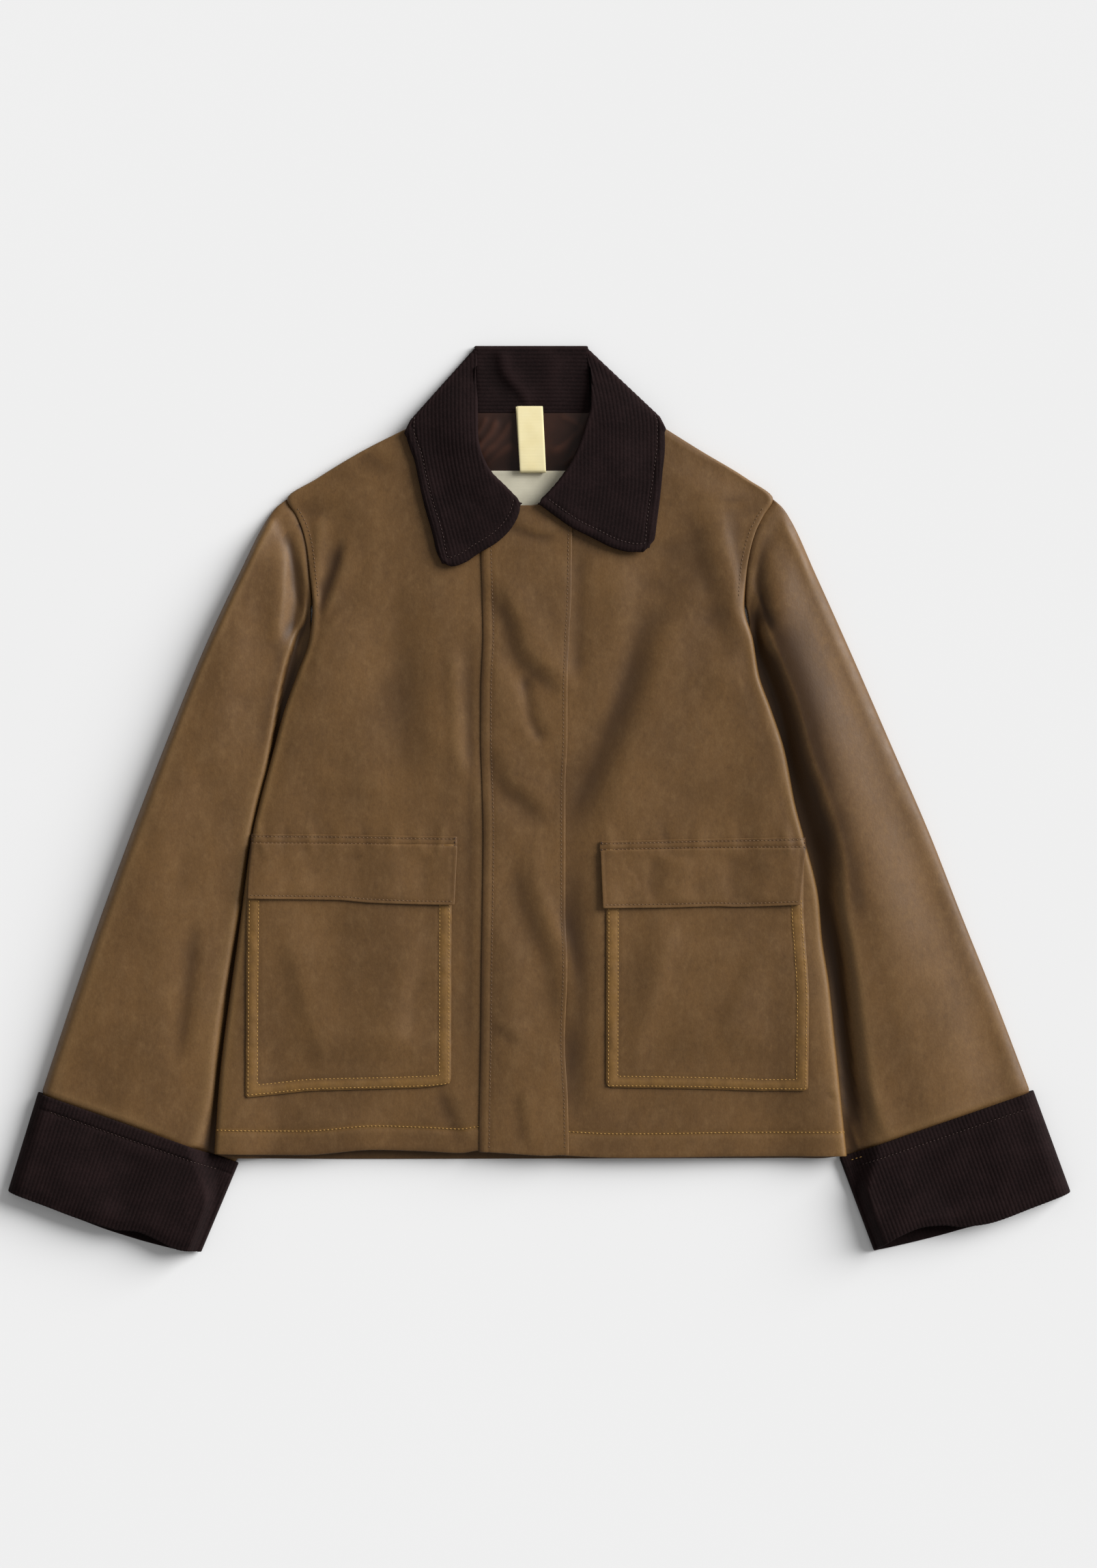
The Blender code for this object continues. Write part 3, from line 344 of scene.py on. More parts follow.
# Rise of each sleeve beside the body: y of the inner edge, width of the hollow, reach of the quick rise
SLEEVE_CLIMB = {
    "right": ((157.0, 3.0, 16.0), (134.0, 9.0, 8.0), (112.0, 14.0, 7.0), (86.0, 13.0, 7.0), (60.0, 9.0, 7.0),
              (30.0, 4.0, 6.0), (0.0, 0.5, 6.0), (-240.0, 0.5, 6.0), (-298.0, 2.0, 16.0)),
    "left": ((157.0, 3.0, 18.0), (130.0, 7.0, 19.0), (70.0, 10.0, 20.0), (10.0, 6.0, 24.0),
             (-60.0, 5.0, 28.0), (-130.0, 3.0, 24.0), (-298.0, 4.0, 24.0)),
}
# Share of the rise that comes slowly, and its reach
SLOW_CLIMB = {"right": (0.42, 74.0), "left": (0.0, 1.0)}
SLEEVE_SIDE = 2.7
# Columns over a sleeve's top: millimetres from its inner edge, a usual width, shares beside its outer edge
SLEEVE_NEAR = (0.0, 0.7, 1.6, 2.7, 4.6)
SLEEVE_WIDTH = 150.0
SLEEVE_FAR = (0.95, 0.966, 0.98, 0.991, 0.998)
# Outer edge: reach of its round part, share of the height that falls over a long slope
SLEEVE_OUTER = {"right": (8.0, 0.0), "left": (12.0, 0.66)}
SLEEVE_SLOPE = 0.52
OUTER_EDGE = 2.2
SEAM_RINGS = 3.0
INTO_CUFF = 9.0
UNDER_CUFF = 2.6
OUT_OF_TUCK = 21.0
# Columns beside the outer edge that get no painted shade
OUTER_COLUMNS = 14

RIGHT_SLEEVE_FOLDS = (
    ("valley by the armhole", ((-198, 226), (-197, 198), (-197, 168), (-199, 146), (-203, 122)),
     (6.0, 7.0), -4.6),
    ("crest by the armhole", ((-206, 214), (-208, 180), (-211, 150), (-214, 124)), (4.0, 12.0), 1.4),
    ("sleeve head crest", ((-208, 240), (-228, 213), (-243, 186), (-256, 160), (-272, 120)), (8.0, 3.0), 1.4),
    ("upper arm hollow", ((-224, 176), (-232, 120), (-250, 60)), (16.0, 14.0), -1.0),
    ("long ridge", ((-236, 130), (-254, 70), (-270, 10)), (16.0, 16.0), 0.8),
    ("elbow hollow", ((-262, 40), (-284, -30), (-296, -90)), (20.0, 16.0), -1.2),
    ("elbow ridge", ((-298, 10), (-316, -60), (-330, -130)), (20.0, 20.0), 0.9),
    ("forearm ridge", ((-340, -120), (-372, -224)), (20.0, 18.0), 0.8),
)
LEFT_SLEEVE_FOLDS = (
    ("valley by the armhole", ((182, 226), (179, 204), (177, 184), (182, 158), (188, 132)), (5.0, 7.0), -3.8),
    ("hollow by the hip", ((238, -80), (245, -140), (250, -200), (257, -270)), (6.0, 6.0), -2.6),
    ("sleeve head crest", ((193, 243), (206, 216), (219, 200), (232, 170)), (4.0, 9.0), 1.3),
    ("elbow hollow", ((290, 0), (312, -70), (326, -120)), (18.0, 20.0), -0.9),
    ("forearm ridge", ((318, -120), (338, -190), (352, -250)), (16.0, 20.0), 0.9),
    ("forearm crease", ((378, -172), (387, -206), (395, -242)), (5.0, 8.0), 1.1),
    ("cuff crease", ((255, -256), (259, -274), (263, -290)), (3.0, 4.0), 1.0),
)
# Slopes of the sleeves and the body's shadow painted on them beside it, in the columns of the fronts' slopes;
# rows without rise are only painted shadow
SLEEVE_SLOPES = {
    "right": (
        ("wedge by the body", ((-198, 146), (-204, 122), (-206, 100), (-212, 78), (-218, 50), (-223, 16)),
         6.0, (5.0, 5.0), 0.0, 1.0),
        ("groove by the body", ((-222, 34), (-230, -10), (-240, -60), (-247, -110), (-255, -170),
                                (-264, -240), (-268, -292)), 2.6, (3.0, 3.0), 0.0, 0.8),
        ("forearm fold", ((-273, -86), (-280, -150), (-289, -232)), 7.0, (12.0, 13.0), 0.9, 0.15),
    ),
    "left": (
        ("side by the body", ((172, 186), (197, 118), (212, 70), (222, 12), (229, -36), (234, -66)), 15.0,
         (10.0, 10.0), 0.0, 1.6),
        ("side by the pocket", ((230, 6), (245, -38), (255, -76), (258, -116)), 10.0, (10.0, 10.0),
         0.0, 0.9),
        ("wedge by the hip", ((232, -78), (238, -140), (243, -200), (250, -262), (256, -292)), 4.0,
         (4.0, 4.0), 0.0, 0.6),
        ("forearm crease", ((264, -228), (274, -258), (286, -290)), 5.0, (7.0, 9.0), 0.8, 0.2),
    ),
}

# Cuffs: corner points of the flat band, x and y, and the bow of its foot: share from the inner corner, bow of
# the upper and of the under layer
CUFFS = {
    "right": {"top": ((-245.6, -298.6), (-409.4, -240.8)), "foot": ((-275.6, -369.9), (-433.6, -320.0)),
              "bow": ((0.00, 0.0, 0.0), (0.12, 3.0, 4.3), (0.22, 0.4, 5.4), (0.32, -1.2, 6.0),
                      (0.44, 2.8, 6.1), (0.61, 3.2, 4.8), (0.80, 1.6, 2.2), (1.00, 0.0, 0.0))},
    "left": {"top": ((246.2, -294.2), (404.9, -239.2)), "foot": ((273.9, -368.8), (434.7, -320.6)),
             "bow": ((0.00, 0.0, 0.0), (0.07, -3.6, 1.2), (0.14, -6.4, 2.0), (0.24, -8.2, 3.0),
                     (0.36, -4.6, 3.8), (0.44, 1.0, 4.0), (0.60, 4.9, 5.0), (0.80, 2.6, 2.8),
                     (1.00, 0.0, 0.0))},
}
CUFF_HEIGHTS = (16.2, 16.6)
CUFF_TUCK = {"right": 17.0, "left": 6.0}
CUFF_LOW = 6.1
CUFF_LENGTH = 78.0
CUFF_ROW = 0.125
CUFF_SHARES = (0.0, 0.02, 0.05, 0.09, 0.108, 0.117, CUFF_ROW, 0.133, 0.142, 0.18)
CORDUROY_GAP = 0.4
CUFF_FOLDS = (
    ("right cuff hollow", ((-330, -286), (-346, -340)), (16.0, 14.0), -1.6),
    ("right cuff ridge", ((-376, -268), (-396, -322)), (18.0, 18.0), 0.9),
    ("left cuff hollow", ((318, -286), (330, -338)), (16.0, 18.0), -1.4),
    ("left cuff ridge", ((366, -264), (384, -318)), (18.0, 16.0), 1.0),
)

# Collar leaves: roll line from the corner to the front, outer edge from the fold to the tip, front edge
LEAVES = {
    "right": {
        "roll": ((-54.0, 366.0), (-52.0, 346.0), (-51.4, 326.0), (-50.9, 295.0), (-47.0, 278.8),
                 (-39.9, 265.4), (-27.8, 253.6), (-15.0, 241.6)),
        "edge": ((-104.2, 309.6), (-106.6, 303.6), (-107.0, 295.0), (-104.4, 286.0), (-100.5, 275.2),
                 (-97.7, 262.0), (-93.2, 241.4), (-85.5, 214.5), (-82.7, 201.2), (-78.5, 192.2)),
        "front": ((-15.0, 239.6), (-16.2, 232.9), (-22.1, 221.1), (-33.5, 209.5), (-50.0, 199.5),
                  (-60.0, 192.8), (-70.8, 189.5), (-78.5, 192.2)),
        "lean": ((366.0, 0.0), (320.0, 0.0), (290.0, 1.0), (260.0, 6.0), (230.0, 14.0), (185.0, 26.0)),
    },
    "left": {
        "roll": ((42.0, 366.0), (43.2, 350.0), (44.0, 333.9), (44.4, 318.9), (40.9, 306.2), (36.6, 291.9),
                 (30.4, 277.3), (23.2, 265.3), (12.3, 251.9), (1.2, 241.2)),
        "edge": ((98.6, 312.2), (102.1, 303.6), (102.6, 288.8), (100.4, 264.8), (98.1, 244.2), (95.3, 221.9),
                 (94.2, 211.8), (90.1, 205.0)),
        "front": ((1.2, 239.8), (11.1, 232.4), (27.2, 221.2), (44.9, 212.3), (62.6, 204.0), (74.9, 201.2),
                  (84.8, 201.1), (90.1, 205.0)),
        "lean": ((366.0, -14.0), (340.0, -6.0), (320.0, -2.0), (300.0, 0.0), (260.0, 0.0), (230.0, -3.0),
                 (195.0, -8.0)),
    },
}
LEAF_RISE = (8.4, 5.8)
ROLL_HEIGHT = 6.0
ROLL_RADIUS = 2.4
FALL_EDGE = 296.0
FALL_TOP_DROP = 2.0
FOLD_ANGLES = (72.0, 48.0, 24.0, 0.0, -24.0, -48.0, -72.0, -90.0)
FOLD_DEPTH = 2.8
FOLD_ROWS = 14.0
LEAF_ROW = 7.4
LEAF_FOLDS = (
    ("right leaf hollow", ((-92, 300), (-80, 262), (-66, 226)), (14.0, 16.0), -1.0),
    ("right leaf swell", ((-70, 350), (-66, 310), (-62, 276)), (12.0, 14.0), 0.8),
    ("right leaf crease", ((-60, 250), (-48, 236)), (6.0, 7.0), -0.7),
    ("left leaf swell", ((66, 330), (72, 290), (70, 250)), (16.0, 18.0), 0.9),
    ("left leaf hollow", ((84, 300), (88, 262), (84, 232)), (10.0, 12.0), -0.8),
)
STAND_FOOT = 315.6
STAND_TOP = 369.7
STAND_ROLL = 2.8
STAND_SIDES = ((315.6, -50.0, 42.3), (345.0, -50.2, 40.6), (362.0, -51.0, 40.2), (369.7, -51.5, 39.3))
STAND_FOLDS = (
    ("stand crest", ((-31, 369), (-29, 352), (-13, 330), (-6, 318)), (9.0, 3.5), 1.5),
    ("stand hollow", ((-37, 366), (-36, 350), (-24, 328)), (5.0, 10.0), -1.0),
    ("stand left swell", ((16, 366), (12, 340), (14, 318)), (10.0, 12.0), 0.9),
)

# Back neck lining: y, x of right, x of left
LINING = (
    (314.8, -55.0, 50.0), (303.0, -64.0, 58.0), (288.0, -64.0, 57.0), (272.0, -61.0, 52.0),
    (262.0, -56.0, 48.0), (250.0, -50.0, 42.0), (237.0, -42.0, 36.0), (222.0, -40.0, 34.0),
)
LINING_FOLDS = (
    ("right crease a", ((-56, 279), (-48, 288), (-39, 299), (-33, 312)), (2.7, 5.1), 0.90),
    ("right crease b", ((-51, 272), (-42, 283), (-30, 296), (-21, 311)), (2.4, 4.5), 0.65),
    ("right crease c", ((-46, 268), (-34, 280), (-20, 292)), (2.2, 3.9), 0.45),
    ("right crease d", ((-53, 295), (-46, 303), (-42, 313)), (2.0, 3.3), 0.50),
    ("left crease a", ((10, 282), (22, 290), (36, 304)), (2.4, 3.9), 0.45),
    ("left crease b", ((14, 270), (28, 279), (42, 290)), (2.4, 3.9), 0.35),
    ("left crease c", ((40, 300), (28, 308), (16, 313)), (2.4, 3.9), 0.35),
)

LABEL = {"right": -39.5, "left": 23.5, "top": 267.2, "foot": 229.0}
LOOP = {"width": 20.5, "top": 319.6, "foot": 266.5, "shift": (-7.2, -4.6),
        "upper": 9.4, "lower": 6.4, "bow": 0.9}


# Shape

def smooth(value):
    """Ease from 0 to 1."""
    value = np.clip(value, 0.0, 1.0)
    return value * value * (3.0 - 2.0 * value)


def arc(value):
    """Quarter round from 0 to 1."""
    return np.sqrt(1.0 - (1.0 - np.clip(value, 0.0, 1.0)) ** 2)


def eased(keys, values, places):
    """Smooth line through values at rising keys that never overshoots them."""
    keys = np.asarray(keys, dtype=float)
    values = np.asarray(values, dtype=float)
    step = np.diff(keys)
    slope = np.diff(values) / step
    tangent = np.concatenate((slope[:1], np.zeros(len(keys) - 2), slope[-1:]))
    before, after = slope[:-1], slope[1:]
    same_way = before * after > 0.0
    longer, shorter = 2.0 * step[1:] + step[:-1], step[1:] + 2.0 * step[:-1]
    shared = longer / np.where(same_way, before, 1.0) + shorter / np.where(same_way, after, 1.0)
    mean = (longer + shorter) / shared
    tangent[1:-1] = np.where(same_way, mean, 0.0)
    places = np.clip(places, keys[0], keys[-1])
    index = np.clip(np.searchsorted(keys, places, side="right") - 1, 0, len(keys) - 2)
    width = step[index]
    share = (places - keys[index]) / width
    rest = 1.0 - share
    start = values[index] * (1.0 + 2.0 * share) * rest ** 2 + tangent[index] * width * share * rest ** 2
    end = (values[index + 1] * (3.0 - 2.0 * share) * share ** 2
           - tangent[index + 1] * width * rest * share ** 2)
    return start + end


def read(table, places, column, key=0):
    """Smooth value of one column of a table along its key column."""
    keys = np.array([row[key] for row in table], dtype=float)
    values = np.array([row[column] for row in table], dtype=float)
    order = np.argsort(keys)
    return eased(keys[order], values[order], places)


def along(points, shares):
    """Points at shares of the length of a smooth line."""
    points = np.array(points, dtype=float)
    steps = np.linalg.norm(np.diff(points, axis=0), axis=1)
    lengths = np.concatenate(([0.0], np.cumsum(steps))) / steps.sum()
    return np.stack([eased(lengths, points[:, axis], shares) for axis in range(points.shape[1])], axis=-1)


def beside(line, x, y):
    """Distance from a smooth line, the side it is on (above 0 on the left hand) and the share passed."""
    spine = along(line, np.linspace(0.0, 1.0, 4 * len(line) + 5))
    nearest = np.full(np.shape(x), np.inf)
    hand = np.zeros(np.shape(x))
    place = np.zeros(np.shape(x))
    for index, (start, end) in enumerate(zip(spine, spine[1:])):
        way = end - start
        share = np.clip(((x - start[0]) * way[0] + (y - start[1]) * way[1]) / (way @ way), 0.0, 1.0)
        off_x = x - start[0] - way[0] * share
        off_y = y - start[1] - way[1] * share
        away = off_x ** 2 + off_y ** 2
        closer = away < nearest
        nearest = np.where(closer, away, nearest)
        hand = np.where(closer, (way[0] * off_y - way[1] * off_x) / np.linalg.norm(way), hand)
        place = np.where(closer, (index + share) / (len(spine) - 1), place)
    return np.sqrt(nearest), hand, place


def fold_height(folds, x, y):
    """Soft troughs and ridges along lines, each with its own width on either hand, fading at the ends."""
    total = np.zeros(np.shape(x))
    for _, line, widths, height in folds:
        away, hand, place = beside(line, x, y)
        width = np.where(hand > 0.0, widths[0], widths[1])
        fade = smooth((0.5 - np.abs(place - 0.5)) * FOLD_FADE[0] + FOLD_FADE[1])
        total = total + height * np.exp(-(away / width) ** 2) * fade
    return total


def slope_height(slopes, x, y):
    """Height of slopes between a low and a high side, and the painted shade on them."""
    height, slope_shade = np.zeros(np.shape(x)), np.zeros(np.shape(x))
    for _, line, half, reach, rise, dark in slopes:
        away, hand, place = beside(line, x, y)
        fade = smooth((0.5 - np.abs(place - 0.5)) * SLOPE_FADE)
        side = np.where(hand > 0.0, reach[1], reach[0])
        beyond = np.exp(-(np.maximum(away - half, 0.0) / side) ** 2)
        height = height + rise * np.sin(np.clip(hand / half, -1.0, 1.0) * math.pi / 2.0) * beyond * fade
        slope_shade = slope_shade + dark * np.exp(-(away / half / SLOPE_SHADE_REACH) ** 2) * fade
    return height, slope_shade


def ripples(x, y, size, seed):
    """Seeded soft unevenness between -1 and 1 with about one swell in each size."""
    lattice = np.random.default_rng(seed).uniform(-1.0, 1.0, (128, 128))
    u, v = np.asarray(x) / size + 64.0, np.asarray(y) / size + 64.0
    column, row = np.floor(u).astype(int), np.floor(v).astype(int)
    across, up = smooth(u - column), smooth(v - row)
    low = lattice[row % 128, column % 128] * (1.0 - across) + lattice[row % 128, (column + 1) % 128] * across
    high = (lattice[(row + 1) % 128, column % 128] * (1.0 - across)
            + lattice[(row + 1) % 128, (column + 1) % 128] * across)
    return low * (1.0 - up) + high * up


def swells(x, y):
    """Unevenness of a large panel of waxed cotton."""
    return sum(height * ripples(x, y, size, seed) for size, height, seed in SWELLS)


def side_x(y, wearer):
    """X of the body's side outline; wearer is right or left."""
    return read(SIDES, y, 2 if wearer == "right" else 3, key=1)


def inside(x, y):
    """Distance in from the nearer side outline."""
    return np.minimum(x - side_x(y, "right"), side_x(y, "left") - x)


def back_under(x, y):
    """Height of the underside of the back: up over the sleeves' margins and over the collar's fall."""
    start, end = BODY_RAMP
    margin = 1.0 - smooth((inside(x, y) - start) / (end - start))
    foot, head = ARMPIT_RAMP
    over_sleeve = BODY_OVER_SLEEVE * margin * smooth((head - y) / (head - foot))
    low, high = NECK_RAMP
    return np.maximum(over_sleeve, OVER_FALL * smooth((y - low) / (high - low)))


def at_armhole(y):
    """1 beside an armhole, 0 where the side edge is folded under."""
    low, high = ARMHOLE_SPAN
    return smooth((y - low) / ARMHOLE_FADE[0] + 0.5) * smooth((high - y) / ARMHOLE_FADE[1])


def smooth_front(x, y):
    """Height of the fronts without their folds, which the stiff collar bridges."""
    depth = np.maximum(inside(x, y), 0.0)
    side, rounding, middle = (read(FRONT_LEVELS, y, column) for column in (1, 2, 3))
    start, end = PANEL_REACH
    level = side + rounding * arc(depth / EDGE_ROUND)
    level = level + (middle - side - rounding) * smooth((depth - start) / (end - start))
    (near, climb), (far, fall), (top, fade) = SWELL_REACH
    over_sleeve = smooth((depth - near) / climb) * smooth((far - depth) / fall) * smooth((top - y) / fade)
    return level + SWELL_RISE * over_sleeve


def front_height(x, y):
    """Height of the outside of the fronts."""
    level = smooth_front(x, y)
    settle = smooth(np.maximum(inside(x, y), 0.0) / FOLD_REACH)
    relief = fold_height(FRONT_FOLDS, x, y) + slope_height(FRONT_SLOPES, x, y)[0] + swells(x, y)
    relief = relief * settle + pucker_height(x, y)
    room = level - back_under(x, y) - PANEL_ROOM
    return level + np.maximum(relief, -DEEPEST_FOLD * room)


def pucker_height(x, y):
    """Small gathers of the fronts that run down into the strips over the pockets."""
    total = np.zeros(np.shape(x))
    end, reach = PUCKER_END
    down = smooth((PUCKER_TOP - y) / (PUCKER_TOP - PUCKER_FOOT)) * smooth((y - end) / reach)
    for place, lean, width, height in PUCKERS:
        centre = place + lean * (PUCKER_FOOT - y) / (PUCKER_TOP - PUCKER_FOOT)
        total = total + height * np.exp(-((x - centre) / width) ** 2)
    return total * down


# Cloth walls

def outward_normals(points, tube):
    """Directions square to a grid of points, up for a panel and away from the middle for a tube."""
    if tube:
        across = np.roll(points, -1, axis=1) - np.roll(points, 1, axis=1)
    else:
        across = np.gradient(points, axis=1)
    normal = np.cross(across, np.gradient(points, axis=0))
    normal = normal / np.maximum(np.linalg.norm(normal, axis=-1, keepdims=True), TINY)
    middle = points.mean(axis=1, keepdims=True) if tube else points - (0.0, 0.0, 1.0)
    return normal * np.sign(np.sum(normal * (points - middle)))


def border(rows, columns):
    """Rows and columns of the points round the border of a grid, in order, and of their inner neighbours."""
    last_row, last_column = rows - 1, columns - 1
    ring = [(0, c) for c in range(last_column)] + [(r, last_column) for r in range(last_row)]
    ring += [(last_row, c) for c in range(last_column, 0, -1)] + [(r, 0) for r in range(last_row, 0, -1)]
    ring = np.array(ring)
    inner = np.clip(ring, 1, (last_row - 1, last_column - 1))
    return ring, inner


def wall_mesh(name, outside, wall, tube=False, fields=None):
    """Closed wall of cloth with round edges on a grid of outside points, in millimetres.

    A tube's last column meets its first. Each field is a number for each outside point that the mesh keeps as
    an attribute, with its second entry the share that the inner face keeps.
    """
    rows, columns = outside.shape[:2]
    normal = outward_normals(outside, tube)
    inner = outside - normal * wall
    count = rows * columns
    index = np.arange(count).reshape(rows, columns)
    if tube:
        ends = [[np.stack((np.full(columns, row), np.arange(columns)), axis=1) for row in pair]
                for pair in ((0, 1), (rows - 1, rows - 2))]
        right = np.roll(index, -1, axis=1)
        quads = np.stack((index[:-1], right[:-1], right[1:], index[1:]), axis=-1)
    else:
        ends = [border(rows, columns)]
        quads = np.stack((index[:-1, :-1], index[:-1, 1:], index[1:, 1:], index[1:, :-1]), axis=-1)
    quads = quads.reshape(-1, 4)
    fields = {key: (np.broadcast_to(values, (rows, columns)), share)
              for key, (values, share) in (fields or {}).items()}
    points = [outside.reshape(-1, 3), inner.reshape(-1, 3)]
    kept = {key: [values.ravel(), values.ravel() * share] for key, (values, share) in fields.items()}
    faces = [quads, quads[:, ::-1] + count]
    total = 2 * count
    for ring, neighbour in ends:
        top = outside[ring[:, 0], ring[:, 1]]
        low = inner[ring[:, 0], ring[:, 1]]
        middle, half = (top + low) / 2.0, (top - low) / 2.0
        out = top - outside[neighbour[:, 0], neighbour[:, 1]]
        unit = half / np.linalg.norm(half, axis=1, keepdims=True)
        out = out - unit * np.sum(out * unit, axis=1, keepdims=True)
        out = out / np.maximum(np.linalg.norm(out, axis=1, keepdims=True), TINY) * wall / 2.0
        loops = [index[ring[:, 0], ring[:, 1]]]
        for step in range(1, RIM_STEPS + 1):
            angle = math.pi * step / (RIM_STEPS + 1)
            points.append(middle + half * math.cos(angle) + out * math.sin(angle))
            for key, (values, share) in fields.items():
                blend = 1.0 + (share - 1.0) * step / (RIM_STEPS + 1)
                kept[key].append(values[ring[:, 0], ring[:, 1]] * blend)
            loops.append(np.arange(total, total + len(ring)))
            total += len(ring)
        loops.append(loops[0] + count)
        for one, other in zip(loops, loops[1:]):
            faces.append(np.stack((one, np.roll(one, -1), np.roll(other, -1), other), axis=1))
    mesh = bpy.data.meshes.new(name)
    mesh.from_pydata((np.concatenate(points) * MM).tolist(), [], np.concatenate(faces).tolist())
    for key, parts in kept.items():
        attribute = mesh.attributes.new(key, "FLOAT", "POINT")
        attribute.data.foreach_set("value", np.concatenate(parts).astype(np.float32))
    shape = bmesh.new()
    shape.from_mesh(mesh)
    bmesh.ops.recalc_face_normals(shape, faces=shape.faces)
    shape.to_mesh(mesh)
    shape.free()
    mesh.shade_smooth()
    return mesh


def add_piece(name, mesh, material, replaces=()):
    """Put a finished mesh on the frame's body in place of the nodes that it stands for."""
    mesh.materials.clear()
    mesh.materials.append(material)
    piece = bpy.data.objects.new(name, mesh)
    bpy.context.scene.collection.objects.link(piece)
    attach(piece, "root")
    if replaces:
        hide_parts(*replaces)
    return piece


def blurred(values, passes):
    """Values of a grid averaged with their neighbours."""
    for _ in range(passes):
        padded = np.pad(values, 1, mode="edge")
        values = (padded[1:-1, 1:-1] + padded[:-2, 1:-1] + padded[2:, 1:-1]
                  + padded[1:-1, :-2] + padded[1:-1, 2:]) / 5.0
    return values


def shade_and_wear_of(height, fine=8, broad=70, slope_shade=0.0):
    """Ridges above 0, painted lighter as painted highlight and wear, and hollows below 0, painted darker as
    painted shade, from the height of a grid against its surroundings, less the painted shade of slopes.
    """
    close = (height - blurred(height, fine)) / SHADE_AND_WEAR_HEIGHTS[0]
    wide = (height - blurred(height, broad)) / SHADE_AND_WEAR_HEIGHTS[1]
    return np.clip(SHADE_AND_WEAR_SHARE * close + SHADE_AND_WEAR_SHARE * wide - slope_shade, -1.0, 1.0)


# Nodes

def linear(code):
    """Linear colour of an sRGB hex code."""
    channels = [int(code[place:place + 2], 16) / 255.0 for place in (1, 3, 5)]
    return tuple(c / 12.92 if c <= 0.04045 else ((c + 0.055) / 1.055) ** 2.4 for c in channels)


def add_node(tree, kind, links=None, **settings):
    """Add a node with its settings; links gives each input a value, a node's first output or an output."""
    node = tree.nodes.new(kind)
    for key, value in settings.items():
        setattr(node, key, value)
    for key, value in (links or {}).items():
        socket = node.inputs[key]
        if isinstance(value, bpy.types.Node):
            value = value.outputs[0]
        if isinstance(value, bpy.types.NodeSocket):
            tree.links.new(value, socket)
        elif socket.type == "RGBA":
            socket.default_value = (*value[:3], 1.0)
        else:
            socket.default_value = value
    return node


def new_material(name):
    """Empty material, its tree, its place in the piece's own coordinates and its shader."""
    material = bpy.data.materials.new(name)
    material.use_nodes = True
    tree = material.node_tree
    tree.nodes.clear()
    shader = add_node(tree, "ShaderNodeBsdfPrincipled")
    add_node(tree, "ShaderNodeOutputMaterial", {"Surface": shader})
    place = add_node(tree, "ShaderNodeTexCoord").outputs["Object"]
    return material, tree, place, shader


def painted(tree, shader, base, layers):
    """Colours laid over a base in turn: source, its value for none and for most, most of it, colour."""
    for source, none, full, most, colour in layers:
        share = add_node(tree, "ShaderNodeMapRange", {
            "Value": source, "From Min": none, "From Max": full, "To Min": 0.0, "To Max": most}, clamp=True)
        base = add_node(tree, "ShaderNodeMix", {0: share, 6: base, 7: colour}, data_type="RGBA").outputs[2]
    tree.links.new(base, shader.inputs["Base Color"])


def set_gloss(shader, **levels):
    """Set the shader's plain sockets, named with underscores."""
    for key, value in levels.items():
        shader.inputs[key.replace("_", " ")].default_value = value


def field(tree, name):
    """Number that the mesh keeps at each point."""
    return add_node(tree, "ShaderNodeAttribute", attribute_name=name).outputs["Fac"]


def noise(tree, place, size, **levels):
    """Noise with swells of about a size in millimetres."""
    return add_node(tree, "ShaderNodeTexNoise", {"Vector": place, "Scale": 1.0 / (size * MM), **levels})


def bumped(tree, shader, layers):
    """Bumps laid over each other: height, depth in millimetres, strength."""
    below = {}
    for height, depth, strength in layers:
        bump = add_node(tree, "ShaderNodeBump", {
            "Height": height, "Distance": depth * MM, "Strength": strength, **below})
        below = {"Normal": bump.outputs["Normal"]}
    tree.links.new(below["Normal"], shader.inputs["Normal"])


# Materials

def waxed_cotton(colours):
    """Waxed cotton, a plain weave soaked in wax and oil: matt with a low broad gloss, painted paler on ridges
    as painted highlight and wear, painted darker in hollows and on slopes as painted shade, clouded and
    faintly scuffed all over."""
    material, tree, place, shader = new_material("waxed_cotton_cloth")
    shade_and_wear, gold = field(tree, "shade_and_wear"), field(tree, "gold")
    upright = add_node(tree, "ShaderNodeMapping", {"Vector": place, "Scale": (1.0, 0.6, 1.0)})
    clouds, marks, scuffs, grain, threads, creases = (
        noise(tree, upright, size, Detail=detail, Roughness=rough)
        for size, detail, rough in (
            (46.0, 3.0, 0.55), (9.0, 3.0, 0.6), (3.4, 4.0, 0.65),
            (1.3, 1.0, 0.5), (1.1, 1.0, 0.5), (13.0, 3.0, 0.6)))
    painted(tree, shader, colours.cotton_shade, (
        (clouds, 0.36, 0.64, 0.85, colours.cotton),
        (marks, 0.5, 0.8, 0.24, colours.cotton_worn_and_lit),
        (scuffs, 0.52, 0.72, 0.2, colours.cotton_worn_and_lit),
        (scuffs, 0.46, 0.3, 0.2, colours.cotton_dark_wax_and_shade),
        # Ridges get painted highlight and wear, hollows and slopes painted shade; the golden tint is the sewn
        # borders' own and, along the fronts' lower side edges, painted shade
        (shade_and_wear, 0.05, 1.0, 0.36, colours.cotton_worn_and_lit),
        (shade_and_wear, -0.05, -1.0, 0.9, colours.cotton_dark_wax_and_shade),
        (gold, 0.0, 1.0, 0.68, colours.cotton_gold),
        (grain, 0.35, 0.65, 0.14, colours.cotton_dark_wax_and_shade),
    ))
    rough = add_node(tree, "ShaderNodeMapRange", {
        "Value": marks, "From Min": 0.3, "From Max": 0.7, "To Min": 0.48, "To Max": 0.60})
    tree.links.new(rough.outputs["Result"], shader.inputs["Roughness"])
    # The real weave has a thread each 0.4 mm; it is drawn at 1.1 mm so that the render can show it.
    bumped(tree, shader, ((creases, 0.5, 0.25), (scuffs, 0.3, 0.22), (threads, 0.12, 0.4)))
    set_gloss(shader, Specular_IOR_Level=0.3, Sheen_Weight=0.02, Sheen_Roughness=0.5)
    return material


